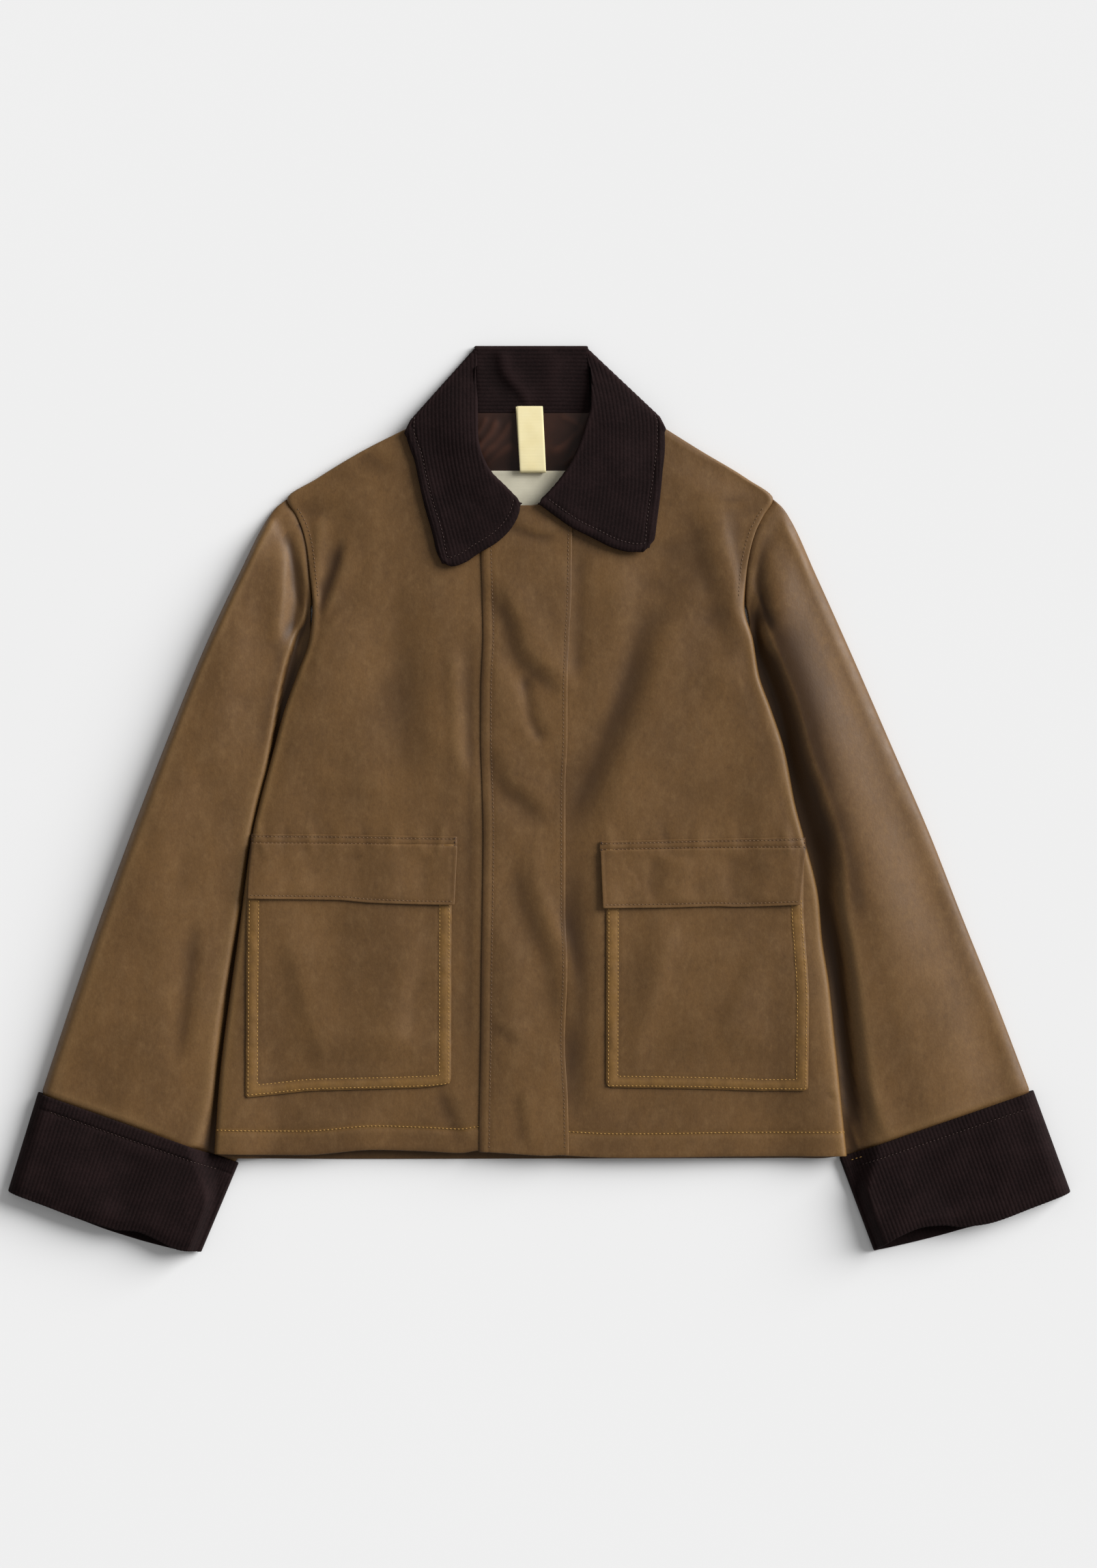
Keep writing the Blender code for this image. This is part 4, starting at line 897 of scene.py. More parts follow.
def corduroy(colours, sizes):
    """Cotton corduroy, a cut pile in ribs: painted almost black in the furrows as painted shade, a soft dusty
    sheen on the ribs, painted lighter on ridges and darker in hollows as painted highlight and shade.
    """
    material, tree, place, shader = new_material("cotton_corduroy_pile")
    across, shade_and_wear = field(tree, "across"), field(tree, "shade_and_wear")
    turn = add_node(tree, "ShaderNodeMath", {0: across, 1: math.pi / sizes.wale_pitch}, operation="MULTIPLY")
    wave = add_node(tree, "ShaderNodeMath", {0: turn}, operation="COSINE")
    rib = add_node(tree, "ShaderNodeMath", {0: wave}, operation="ABSOLUTE")
    nap, tufts = (noise(tree, place, size, Detail=3.0, Roughness=0.6) for size in (21.0, 1.7))
    painted(tree, shader, colours.corduroy_shade_and_dark_tufts, (
        # The furrows between the ribs are painted dark as painted shade; ridges and hollows get painted
        # highlight and shade
        (rib, 0.0, 0.9, 1.0, colours.corduroy),
        (nap, 0.42, 0.72, 0.5, colours.corduroy_nap_and_highlight),
        (tufts, 0.5, 0.75, 0.5, colours.corduroy_nap_and_highlight),
        (tufts, 0.5, 0.3, 0.4, colours.corduroy_shade_and_dark_tufts),
        (shade_and_wear, 0.1, 1.0, 0.6, colours.corduroy_nap_and_highlight),
        (shade_and_wear, -0.1, -1.0, 0.7, colours.corduroy_shade_and_dark_tufts),
    ))
    bumped(tree, shader, ((tufts, 0.4, 0.6),))
    set_gloss(shader, Roughness=0.92, Specular_IOR_Level=0.1, Sheen_Weight=0.045, Sheen_Roughness=0.5,
              Sheen_Tint=(*colours.corduroy_nap_and_highlight, 1.0))
    return material


def satin(colours):
    """Viscose satin lining, woven with long floats: smooth, with a soft broken gloss."""
    material, tree, place, shader = new_material("viscose_satin_lining")
    shade_and_wear = field(tree, "shade_and_wear")
    floats = add_node(tree, "ShaderNodeMapping", {"Vector": place, "Scale": (0.3, 2.0, 1.0)})
    threads = noise(tree, floats, 1.2, Detail=1.0)
    clouds = noise(tree, place, 24.0)
    painted(tree, shader, colours.satin, (
        (clouds, 0.45, 0.75, 0.3, colours.satin_light),
        (shade_and_wear, 0.0, 1.0, 0.9, colours.satin_light),
        (shade_and_wear, 0.0, -1.0, 0.7, colours.satin_shade),
    ))
    bumped(tree, shader, ((threads, 0.1, 0.3),))
    set_gloss(shader, Roughness=0.4, Specular_IOR_Level=0.3)
    return material


def woven_tape(name, colour, shade, rib):
    """Plain woven cotton tape or label: matt and even, with a fine cross rib."""
    material, tree, place, shader = new_material(name)
    weave = add_node(tree, "ShaderNodeTexWave", {
        "Vector": place, "Scale": 0.31 / (rib * MM), "Distortion": 0.4}, bands_direction="Y").outputs["Fac"]
    clouds = noise(tree, place, 15.0)
    painted(tree, shader, colour, ((clouds, 0.35, 0.7, 0.5, shade),))
    bumped(tree, shader, ((weave, 0.1, 0.35),))
    set_gloss(shader, Roughness=0.7, Specular_IOR_Level=0.3)
    return material


def thread(name, colour):
    """Spun polyester sewing thread: two plies with a slight gloss."""
    material, tree, place, shader = new_material(name)
    twist = noise(tree, place, 1.5)
    painted(tree, shader, colour, ((twist, 0.3, 0.7, 0.4, tuple(channel * 0.6 for channel in colour)),))
    set_gloss(shader, Roughness=0.55)
    return material


def paper(colour):
    """Seamless paper of a studio floor: dead matt, with the faintest cloudiness."""
    material, tree, place, shader = new_material("matt_seamless_paper")
    clouds = noise(tree, place, 400.0)
    painted(tree, shader, colour, ((clouds, 0.3, 0.7, 1.0, tuple(channel * 0.995 for channel in colour)),))
    set_gloss(shader, Roughness=1.0, Specular_IOR_Level=0.0)
    return material


# Geometry node trees

def new_geometry_tree(name, inputs):
    """Geometry tree with a geometry in and out and named inputs: name, kind, default."""
    tree = bpy.data.node_groups.new(name, "GeometryNodeTree")
    tree.interface.new_socket("Geometry", in_out="INPUT", socket_type="NodeSocketGeometry")
    tree.interface.new_socket("Geometry", in_out="OUTPUT", socket_type="NodeSocketGeometry")
    for label, kind, default in inputs:
        socket = tree.interface.new_socket(label, in_out="INPUT", socket_type=kind)
        if default is not None:
            socket.default_value = default
    start = tree.nodes.new("NodeGroupInput")
    return tree, start


def close_tree(tree, start, geometry):
    """End a tree with real geometry and its material."""
    real = add_node(tree, "GeometryNodeRealizeInstances", {"Geometry": geometry})
    dressed = add_node(tree, "GeometryNodeSetMaterial", {
        "Geometry": real.outputs["Geometry"], "Material": start.outputs["Material"]})
    add_node(tree, "NodeGroupOutput", {"Geometry": dressed.outputs["Geometry"]})


def wale_tree():
    """Ribs of corduroy: each point moves out by a rounded wave of its distance across the ribs."""
    tree, start = new_geometry_tree("corduroy_wales", (
        ("Wale Pitch", "NodeSocketFloat", 0.0032),
        ("Wale Height", "NodeSocketFloat", 0.0004),
        ("Material", "NodeSocketMaterial", None),
    ))
    across = add_node(tree, "GeometryNodeInputNamedAttribute", {"Name": "across"}, data_type="FLOAT")
    pile = add_node(tree, "GeometryNodeInputNamedAttribute", {"Name": "pile"}, data_type="FLOAT")
    height = across.outputs["Attribute"]
    for operation, other in (
        ("DIVIDE", start.outputs["Wale Pitch"]), ("MULTIPLY", math.pi), ("COSINE", 0.0), ("ABSOLUTE", 0.0),
        ("POWER", 0.8), ("SUBTRACT", 0.6), ("MULTIPLY", start.outputs["Wale Height"]),
        ("MULTIPLY", pile.outputs["Attribute"]),
    ):
        height = add_node(tree, "ShaderNodeMath", {0: height, 1: other}, operation=operation)
    normal = add_node(tree, "GeometryNodeInputNormal").outputs["Normal"]
    offset = add_node(tree, "ShaderNodeVectorMath", {0: normal, "Scale": height}, operation="SCALE")
    moved = add_node(tree, "GeometryNodeSetPosition", {
        "Geometry": start.outputs["Geometry"], "Offset": offset.outputs["Vector"]})
    close_tree(tree, start, moved.outputs["Geometry"])
    return tree


def stitch_tree():
    """Row of stitches along each line of a mesh of edges."""
    tree, start = new_geometry_tree("stitch_row", (
        ("Stitch Length", "NodeSocketFloat", 0.0024),
        ("Stitch Gap", "NodeSocketFloat", 0.0008),
        ("Thread Width", "NodeSocketFloat", 0.0006),
        ("Material", "NodeSocketMaterial", None),
    ))
    pitch = add_node(tree, "ShaderNodeMath", {
        0: start.outputs["Stitch Length"], 1: start.outputs["Stitch Gap"]}, operation="ADD")
    line = add_node(tree, "GeometryNodeMeshToCurve", {"Mesh": start.outputs["Geometry"]})
    spaced = add_node(tree, "GeometryNodeResampleCurve", {"Curve": line.outputs["Curve"], "Length": pitch},
                      mode="LENGTH")
    tangent = add_node(tree, "GeometryNodeInputTangent").outputs["Tangent"]
    turned = add_node(tree, "FunctionNodeAlignRotationToVector", {"Vector": tangent}, axis="X")
    jitter = add_node(tree, "FunctionNodeRandomValue", {2: 0.82, 3: 1.12, "Seed": 5}, data_type="FLOAT")
    length = add_node(tree, "ShaderNodeMath", {
        0: start.outputs["Stitch Length"], 1: jitter.outputs[1]}, operation="MULTIPLY")
    width = start.outputs["Thread Width"]
    size = add_node(tree, "ShaderNodeCombineXYZ", {"X": length, "Y": width, "Z": width})
    stitch = add_node(tree, "GeometryNodeMeshIcoSphere", {"Radius": 0.5, "Subdivisions": 1})
    rows = add_node(tree, "GeometryNodeInstanceOnPoints", {
        "Points": spaced.outputs["Curve"], "Instance": stitch.outputs["Mesh"],
        "Rotation": turned.outputs["Rotation"], "Scale": size.outputs["Vector"]})
    close_tree(tree, start, rows.outputs["Instances"])
    return tree


def through_tree(mesh, tree, inputs):
    """Plain mesh that a geometry tree makes of a mesh, with the tree's named inputs set."""
    holder = bpy.data.objects.new("holder", mesh)
    bpy.context.scene.collection.objects.link(holder)
    modifier = holder.modifiers.new("made", "NODES")
    modifier.node_group = tree
    sockets = {item.name: item.identifier for item in tree.interface.items_tree if item.in_out == "INPUT"}
    for label, value in inputs.items():
        modifier[sockets[label]] = value
    bpy.context.view_layer.update()
    evaluated = holder.evaluated_get(bpy.context.evaluated_depsgraph_get())
    made = bpy.data.meshes.new_from_object(evaluated, preserve_all_data_layers=True,
                                           depsgraph=bpy.context.evaluated_depsgraph_get())
    made.name = mesh.name + "_made"
    holder.modifiers.clear()
    bpy.data.objects.remove(holder)
    made.shade_smooth()
    return made


def with_wales(mesh, sizes, material):
    """Corduroy wall with its ribs raised."""
    tree = bpy.data.node_groups.get("corduroy_wales") or wale_tree()
    return through_tree(mesh, tree, {
        "Wale Pitch": sizes.wale_pitch, "Wale Height": sizes.wale_height, "Material": material})


def stitched(name, lines, sizes, material, width=1.0):
    """One mesh of stitches along several lines of points in millimetres."""
    points, edges = [], []
    for line in lines:
        first = len(points)
        points += (np.asarray(line) * MM).tolist()
        edges += [(first + step, first + step + 1) for step in range(len(line) - 1)]
    mesh = bpy.data.meshes.new(name)
    mesh.from_pydata(points, edges, [])
    tree = bpy.data.node_groups.get("stitch_row") or stitch_tree()
    return through_tree(mesh, tree, {
        "Stitch Length": sizes.stitch_length, "Stitch Gap": sizes.stitch_gap,
        "Thread Width": sizes.thread_width * width, "Material": material})


def jacket_material(name):
    """Material of a name, made once."""
    colours = bpy.context.scene.jacket_colours
    sizes = bpy.context.scene.jacket_sizes
    makers = {
        "waxed_cotton_cloth": lambda: waxed_cotton(colours),
        "cotton_corduroy_pile": lambda: corduroy(colours, sizes),
        "viscose_satin_lining": lambda: satin(colours),
        "cotton_hanging_tape": lambda: woven_tape(
            "cotton_hanging_tape", colours.tape, colours.tape_shade, 1.2),
        "woven_label_cloth": lambda: woven_tape(
            "woven_label_cloth", colours.label, colours.label_shade, 1.0),
        "golden_polyester_thread": lambda: thread("golden_polyester_thread", colours.gold_thread),
        "brown_polyester_thread": lambda: thread("brown_polyester_thread", colours.brown_thread),
        "umber_polyester_thread": lambda: thread("umber_polyester_thread", colours.umber_thread),
    }
    return bpy.data.materials.get(name) or makers[name]()


# Body panels

def steps(start, end, size):
    """Evenly spaced values about a size apart, ends included."""
    return np.linspace(start, end, max(3, int(round(abs(end - start) / size)) + 1))


def front_grid(wearer, spacing):
    """Outside points of a front from its side to its closing edge, with its side edge turned under."""
    sign = 1.0 if wearer == "right" else -1.0
    column = 1 if wearer == "right" else 2
    down = steps(0.0, 1.0, spacing / FRONT_SIZE[1])
    count = int(FRONT_SIZE[0] / spacing)
    share = np.linspace(0.0, 1.0, count) ** SIDE_CROWDING
    foot = side_x(FRONT_FOOT, wearer)
    hem_x = foot + (read(CLOSING, FRONT_FOOT, column) - foot) * share
    hem_y = read(FRONT_HEM, hem_x, 1)
    y = TOP_ROW + (hem_y - TOP_ROW) * down[:, None]
    side = side_x(y, wearer)
    x = side + (read(CLOSING, y, column) - side) * share
    z = front_height(x, y)
    turned = []
    edge, open_side = smooth_front(side[:, :1], y[:, :1]), at_armhole(y[:, :1])
    floor_side = back_under(side[:, :1], y[:, :1])
    for depth, low, drop in TURNED:
        place = side[:, :1] + sign * (depth * (1.0 - open_side) + 0.3 * open_side)
        height = (floor_side + low) * (1.0 - open_side) + (edge - drop) * open_side
        turned.append(np.stack((place, y[:, :1], height), axis=-1))
    panel = np.concatenate(turned + [np.stack((x, y, z), axis=-1)], axis=1)
    return panel


def seam_ditch(away, place):
    """Dip of the cloth beside a seam or a row of stitches."""
    width, depth = DITCHES[place]
    return -depth * np.exp(-(away / width) ** 2)


def pressed(away, place):
    """How far a piece is pressed down at a distance in from its edge."""
    depth, reach = PRESSED[place]
    return depth * (1.0 - smooth(away / reach))


def rippled(x, y, place):
    """Unevenness of one of the smaller pieces."""
    height, size, seed = RIPPLES[place]
    return height * ripples(x, y, size, seed)


def front_cloth(wearer, sizes):
    """Outside points of a front, its painted shade and wear, and its golden tint along hem and side."""
    grid = front_grid(wearer, sizes.panel_grid)
    x, y, z = grid[..., 0], grid[..., 1], grid[..., 2]
    foot = y - read(FRONT_HEM, x, 1)
    hem = sizes.hem_depth / MM
    z = z + seam_ditch(foot - hem, "hem")
    z = z + 0.35 * smooth((hem - foot) / 2.0)
    # Ridges are painted lighter, hollows and slopes darker: painted highlight and shade.
    shade_and_wear = shade_and_wear_of(z, slope_shade=slope_height(FRONT_SLOPES, x, y)[1])
    # The side edge turned under is painted darker: painted shade.
    shade_and_wear[:, :len(TURNED)] = -0.2
    gold = 0.5 * np.exp(-((foot - hem) / 1.6) ** 2)
    # The golden tint along the side edges, below about y = 150, is painted shade.
    gold = gold + 0.3 * np.exp(-(inside(x, y) / 7.0) ** 2) * smooth((150.0 - y) / 40.0)
    return np.stack((x, y, z), axis=-1), shade_and_wear, gold


def back_grid(spacing):
    down = steps(0.0, 1.0, spacing / BACK_SIZE[1])
    share = np.linspace(0.0, 1.0, int(BACK_SIZE[0] / spacing))
    hem_y = read(BACK_HEM, BACK_SPAN[0] + BACK_SPAN[1] * share, 1)
    y = BACK_ROW + (hem_y - BACK_ROW) * down[:, None]
    right = side_x(y, "right") + BACK_INSET
    left = side_x(y, "left") - BACK_INSET
    x = right + (left - right) * share
    return np.stack((x, y, back_under(x, y) + BACK_TOP), axis=-1)


def placket_edges(y):
    return read(PLACKET, y, 1), read(PLACKET, y, 2)


def placket_height(x, y):
    """Height of the outside of the placket, pressed down along its sewn edge."""
    right, left = placket_edges(y)
    sewn, loose = PLACKET_ROWS
    rows = seam_ditch(x - right - sewn, "placket") + seam_ditch(left - x - loose, "placket edge")
    free = 0.5 * smooth((x - left + 9.0) / 9.0) * (0.6 + rippled(x, y, "placket"))
    return front_height(x, y) + LAYER - pressed(x - right, "placket") + rows + free


def placket_grid(spacing):
    y = steps(238.4, -289.0, spacing)[:, None]
    right, left = placket_edges(y)
    share = np.linspace(0.0, 1.0, int(72.0 / spacing) + 1)
    x = right + (left - right) * share
    drop = read(FRONT_HEM, x[-1], 1) - 1.2 + 1.6 * smooth((x[-1] - 4.0) / 18.0)
    y = np.repeat(y, x.shape[1], axis=1)
    y = y + (drop - y[-1]) * smooth((-230.0 - y) / 60.0)
    return x, y


def rounded_patch(outer, inner, top, foot, rounds, spacing):
    """Grid of a pocket or flap between two side lines, down to its foot line, its lower corners rounded.

    Side lines are y then x, top and foot are x then y. The grid's columns run along +X.
    """
    first, second = (outer, inner) if outer[0][1] < inner[0][1] else (inner, outer)
    left_round, right_round = rounds
    across = np.linspace(0.0, 1.0, int(168.0 / spacing) + 1)
    tall = max(row[1] for row in top) - min(row[1] for row in foot)
    down = np.concatenate((np.linspace(0.0, 0.93, int(tall / spacing)), (0.95, 0.97, 0.985, 0.994, 1.0)))
    middle = first[0][1] + (second[0][1] - first[0][1]) * across
    y_top = read(top, middle, 1)
    y_foot = read(foot, first[-1][1] + (second[-1][1] - first[-1][1]) * across, 1)
    y = y_top + (y_foot - y_top) * down[:, None]
    above = y - y_foot
    start = read(first, y, 1) + left_round * (1.0 - arc(above / max(left_round, 0.01)))
    end = read(second, y, 1) - right_round * (1.0 - arc(above / max(right_round, 0.01)))
    return start + (end - start) * across, y


def from_edges(x, y, first, second, foot):
    """Distance in from a patch's two sides and its foot."""
    to_foot = y - read(foot, x, 1)
    return x - read(first, y, 1), read(second, y, 1) - x, to_foot


def pocket_sides(wearer):
    pocket = POCKETS[wearer]
    outer, inner = pocket["outer"], pocket["inner"]
    return (outer, inner) if outer[0][1] < inner[0][1] else (inner, outer)


def pocket_height(x, y, wearer):
    """Height of the outside of a pocket: a folded border with two sewn rows, puckered, and a slack middle."""
    first, second = pocket_sides(wearer)
    left, right, foot = from_edges(x, y, first, second, POCKETS[wearer]["foot"])
    nearest = np.minimum(np.minimum(left, right), foot)
    on_band = smooth((POCKET_BAND + 1.0 - nearest) / 2.0)
    gathers = rippled(x * 1.6 + 7.0, y * 1.6, "pocket border") * on_band
    rows = seam_ditch(nearest - POCKET_ROW, "pocket edge")
    rows = rows + seam_ditch(nearest - POCKET_BAND, "pocket border")
    slack = smooth((nearest - POCKET_BAND) / 40.0) + rippled(x, y, "pocket") * smooth(nearest / 30.0)
    height = front_height(x, y) + LAYER + 0.35 * on_band + gathers + rows
    return height - pressed(nearest, "pocket") + slack


def band_height(x, y, wearer):
    """Height of the strip that is sewn over a pocket's top."""
    top = read(BANDS[wearer], x, 1)
    foot = read(BANDS[wearer], x, 2)
    rows = seam_ditch(top - y - BAND_ROW, "strip") + seam_ditch(y - foot - BAND_ROW, "strip")
    return front_height(x, y) + LAYER + rows + rippled(x, y, "strip")


def flap_height(x, y, wearer):
    """Height of a flap, which hangs over the pocket's top and lifts a little along its foot."""
    flap = FLAPS[wearer]
    first, second = (flap["outer"], flap["inner"])
    if first[0][1] > second[0][1]:
        first, second = second, first
    left, right, foot = from_edges(x, y, first, second, flap["foot"])
    nearest = np.minimum(np.minimum(left, right), foot)
    rows = seam_ditch(nearest - FLAP_ROW, "flap")
    lift = 0.9 * smooth((24.0 - foot) / 24.0)
    height = front_height(x, y) + 2.0 * LAYER + rows + lift + fold_height(FLAP_FOLDS, x, y)
    height = height + rippled(x, y, "flap")
    if wearer == "left":
        away = np.hypot(x - SNAP["x"], y - SNAP["y"])
        fall = SNAP["far"] + (SNAP["near"] - SNAP["far"]) * smooth((x - SNAP["x"]) / SNAP["radius"] + 0.5)
        height = height + SNAP["rise"] * (1.0 - smooth((away - SNAP["radius"]) / fall))
    return height


# Sleeves and cuffs

def tube_section(inner, outer, height, tuck, over, below, low, climb, floor=0.0, edge=(13.0, 0.0),
                 slow=(0.0, 1.0)):
    """Outside points round a flat-lying tube, at shares of its width over its top and then back below."""
    width = np.linalg.norm(outer - inner)
    over = over * width
    past = over - tuck - 1.0
    crown = low + (height - low) * ((1.0 - slow[0]) * smooth(past / climb) + slow[0] * smooth(past / slow[1]))
    rise = 0.5 + 0.5 * arc(over / SLEEVE_SIDE)
    fall = arc((width - over) / edge[0]) * (1.0 - edge[1])
    fall = fall + smooth((width - over) / width / SLEEVE_SLOPE) * edge[1]
    over_z = OUTER_EDGE + (crown * rise - OUTER_EDGE) * fall
    below = below * width
    below_z = 0.9 * (1.0 - arc(np.minimum(below, width - below) / 2.6)) + floor
    shares = np.concatenate((over, below)) / width
    heights = np.concatenate((np.maximum(over_z, floor), below_z))
    flat = inner + (outer - inner) * shares[:, None]
    return np.concatenate((flat, heights[:, None]), axis=1)


def outside_body(x, y, wearer):
    """Distance out from the body's side outline."""
    away = side_x(y, wearer) - x
    return away if wearer == "right" else -away


def sleeve_grid(wearer, sizes):
    """Outside points of a sleeve in rings from armhole to cuff, and how many of a ring lie over its top."""
    spacing = sizes.panel_grid + 0.3
    table = RIGHT_SLEEVE if wearer == "right" else LEFT_SLEEVE
    folds = RIGHT_SLEEVE_FOLDS if wearer == "right" else LEFT_SLEEVE_FOLDS
    values = np.array([row[1:] for row in table], dtype=float)
    place = np.cumsum(values[:, 0])
    outer_gaps, inner_gaps = (np.linalg.norm(np.diff(values[:, column:column + 2], axis=0), axis=1)
                              for column in (1, 3))
    length = np.concatenate(([0.0], np.cumsum((outer_gaps + inner_gaps) / 2.0)))
    ends = [np.array(point) for point in CUFFS[wearer]["top"] + CUFFS[wearer]["foot"]]
    way = np.concatenate([(ends[3] - ends[1]) / np.linalg.norm(ends[3] - ends[1]),
                          (ends[2] - ends[0]) / np.linalg.norm(ends[2] - ends[0])])
    near = np.array(SLEEVE_NEAR) / SLEEVE_WIDTH
    over = np.concatenate((near, np.linspace(0.05, 0.93, int(145.0 / spacing)), SLEEVE_FAR))
    below = np.concatenate(((1.0, 0.992, 0.975), np.linspace(0.95, 0.05, 22), (0.025, 0.008)))
    armhole = np.array(ARMHOLE_HEIGHT)
    rings = []
    top_count = len(over)
    into_cuff = length[-1] + np.array((1.2, 3.0, 6.0, INTO_CUFF))
    for at in np.concatenate((steps(0.0, length[-1], spacing), into_cuff)):
        beyond = max(0.0, at - length[-1])
        edges = np.array([eased(length, values[:, column], min(at, length[-1])) for column in (1, 2, 3, 4)])
        edges = edges + way * beyond
        outer, inner = edges[:2], edges[2:]
        height = float(eased(length, values[:, 5], min(at, length[-1])))
        into = smooth((at - length[-1] + 2.0) / 3.5)
        inward = (outer - inner) / np.linalg.norm(outer - inner)
        retreat = 2.4 * into + OUT_OF_TUCK * smooth(beyond / 2.4)
        outer, inner = outer - inward * 1.8 * into, inner + inward * retreat
        index = float(np.interp(min(at, length[-1]), length, place))
        hollow, climb = (float(read(SLEEVE_CLIMB[wearer], inner[1], column)) for column in (1, 2))
        tuck = max(0.0, -float(outside_body(inner[0], inner[1], wearer))) + hollow
        floor = UNDER_CUFF * into
        under_cuff = (CUFF_TUCK[wearer] + 2.0 - retreat, 28.0, CUFF_LOW - sizes.corduroy / MM - CORDUROY_GAP)
        tuck, climb, low = (own + (cuff - own) * into
                            for own, cuff in zip((tuck, climb, SLEEVE_UNDER_BODY), under_cuff))
        slow_share, slow_reach = SLOW_CLIMB[wearer]
        ring = tube_section(inner, outer, height - UNDER_CUFF * 1.2 * into, tuck, over, below, low, climb,
                            floor, SLEEVE_OUTER[wearer], (slow_share * (1.0 - into), slow_reach))
        follow = max(0.0, 1.0 - index / SEAM_RINGS)
        seam_y = np.clip(ring[:, 1] + values[0, 2] - outer[1], values[0, 4], values[0, 2])
        chord_x = np.interp(seam_y, (values[0, 4], values[0, 2]), (values[0, 3], values[0, 1]))
        ring[:, 0] += (side_x(seam_y, wearer) - chord_x) * follow
        seam_z = eased(armhole[:, 0], armhole[:, 1], seam_y)
        upper = slice(3, top_count - 1)
        blend = smooth(index / SEAM_RINGS)
        ring[upper, 2] = ring[upper, 2] * blend + seam_z[upper] * (1.0 - blend)
        rings.append(ring)
    points = np.array(rings)
    out = -1.0 if wearer == "right" else 1.0
    points[0, :, 0] += out * SEAM
    upper = points[:, 3:top_count - 1]
    x, y = upper[..., 0], upper[..., 1]
    settle = smooth(outside_body(x, y, wearer) / 10.0 + 0.2)
    settle = settle * smooth(np.arange(len(points)) * spacing / 26.0)[:, None]
    edge_fade = smooth((1.0 - over[3:top_count - 1]) * 12.0)
    relief = fold_height(folds, x, y) + slope_height(SLEEVE_SLOPES[wearer], x, y)[0] + swells(x + 400.0, y)
    relief = relief * settle * edge_fade
    upper[..., 2] = np.maximum(upper[..., 2] + relief, np.minimum(upper[..., 2], 3.6))
    first_rows = np.arange(len(points)) * spacing
    off_floor = smooth((upper[0, :, 2] - 3.0) / 2.0)
    upper[..., 2] += seam_ditch(first_rows, "armhole")[:, None] * off_floor
    return points, top_count


def cuff_grid(wearer, pitch):
    """Outside points of a turned-back cuff in rings from top to foot, and how many lie over its top."""
    cuff = CUFFS[wearer]
    top_inner, top_outer, foot_inner, foot_outer = [np.array(c) for c in cuff["top"] + cuff["foot"]]
    down = (foot_inner - top_inner) / np.linalg.norm(foot_inner - top_inner)
    width = np.linalg.norm(top_outer - top_inner)
    over = np.linspace(0.0, 1.0, int(width / pitch * POINTS_TO_RIB))
    below = np.linspace(1.0, 0.0, 40)[1:-1]
    rings = []
    for share in np.concatenate((CUFF_SHARES, np.linspace(0.22, 0.94, 15), (0.965, 0.985, 1.0))):
        inner = top_inner + (foot_inner - top_inner) * share
        outer = top_outer + (foot_outer - top_outer) * share
        height = CUFF_HEIGHTS[0] + (CUFF_HEIGHTS[1] - CUFF_HEIGHTS[0]) * share
        height = height + 0.5 * smooth((0.13 - share) / 0.03) - 1.6 * smooth((share - 0.90) / 0.10)
        tuck = CUFF_TUCK[wearer] * (1.0 - share) ** 3 + 1.0
        ring = tube_section(inner, outer, height, tuck, over, below, low=CUFF_LOW,
                            climb=26.0 - 17.0 * smooth(share / 0.45))
        across = outer - inner
        place = np.clip((ring[:, :2] - inner) @ across / (across @ across), 0.0, 1.0)
        is_upper = np.arange(len(ring)) < len(over)
        bow = np.where(is_upper, read(cuff["bow"], place, 1), read(cuff["bow"], place, 2))
        ring[:, :2] += down * (bow * share ** 3)[:, None]
        upper = slice(0, len(over))
        x, y = ring[upper, 0], ring[upper, 1]
        edge_fade = smooth(np.minimum(over, 1.0 - over) * 10.0)
        ring[upper, 2] += (fold_height(CUFF_FOLDS, x, y) + rippled(x, y, "cuff")) * edge_fade
        ring[upper, 2] += seam_ditch((share - CUFF_ROW) * CUFF_LENGTH, "cuff")
        arch = np.maximum(0.0, -read(cuff["bow"], over, 1)) * smooth((share - 0.6) / 0.4)
        ring[upper, 2] += arch * 0.35
        rings.append(ring)
    points = np.array(rings)
    return points, len(over)


# Collar

def leaf_flat(leaf, rows, columns):
    """X and Y of a leaf between its roll line and its free edges, from the fold to the front."""
    shares = np.linspace(0.0, 1.0, rows)
    start = along(leaf["roll"], shares)
    end = along(leaf["edge"], shares)
    across = np.linspace(0.0, 1.0, columns)
    flat = start[:, None] + (end - start)[:, None] * across[:, None]
    last = along(leaf["front"], across)
    pull = (shares ** 4)[:, None, None]
    return flat + (last - flat[-1])[None] * pull


def leaf_height(x, y, across):
    """Height of the outside of the leaves: high at the roll, down on the fronts along the free edge."""
    rise = LEAF_RISE[0] + (LEAF_RISE[1] - LEAF_RISE[0]) * smooth(across)
    resting = smooth_front(x, np.minimum(y, 300.0)) + rise
    near_corner = smooth((y - 300.0) / 66.0)
    folds = fold_height(LEAF_FOLDS, x, y) * (1.0 - near_corner)
    return resting + (ROLL_HEIGHT - resting) * near_corner + folds


def leaf_points(flat):
    """Outside points of a leaf, with ditches along its sewn edges, and the distances to those edges."""
    x, y = flat[..., 0], flat[..., 1]
    to_edge = np.linalg.norm(flat - flat[:, -1:], axis=-1)
    to_front = np.linalg.norm(flat - flat[-1:], axis=-1)
    height = leaf_height(x, y, np.linspace(0.0, 1.0, flat.shape[1])[None, :])
    off_tip = smooth((np.maximum(to_edge, to_front) - 4.0) / 6.0)
    for away in (to_edge, to_front):
        height = height + seam_ditch(away - LEAF_ROW, "leaf") * off_tip
    height = height - pressed(np.minimum(to_edge, to_front), "leaf")
    return np.stack((x, y, height), axis=-1), to_edge, to_front


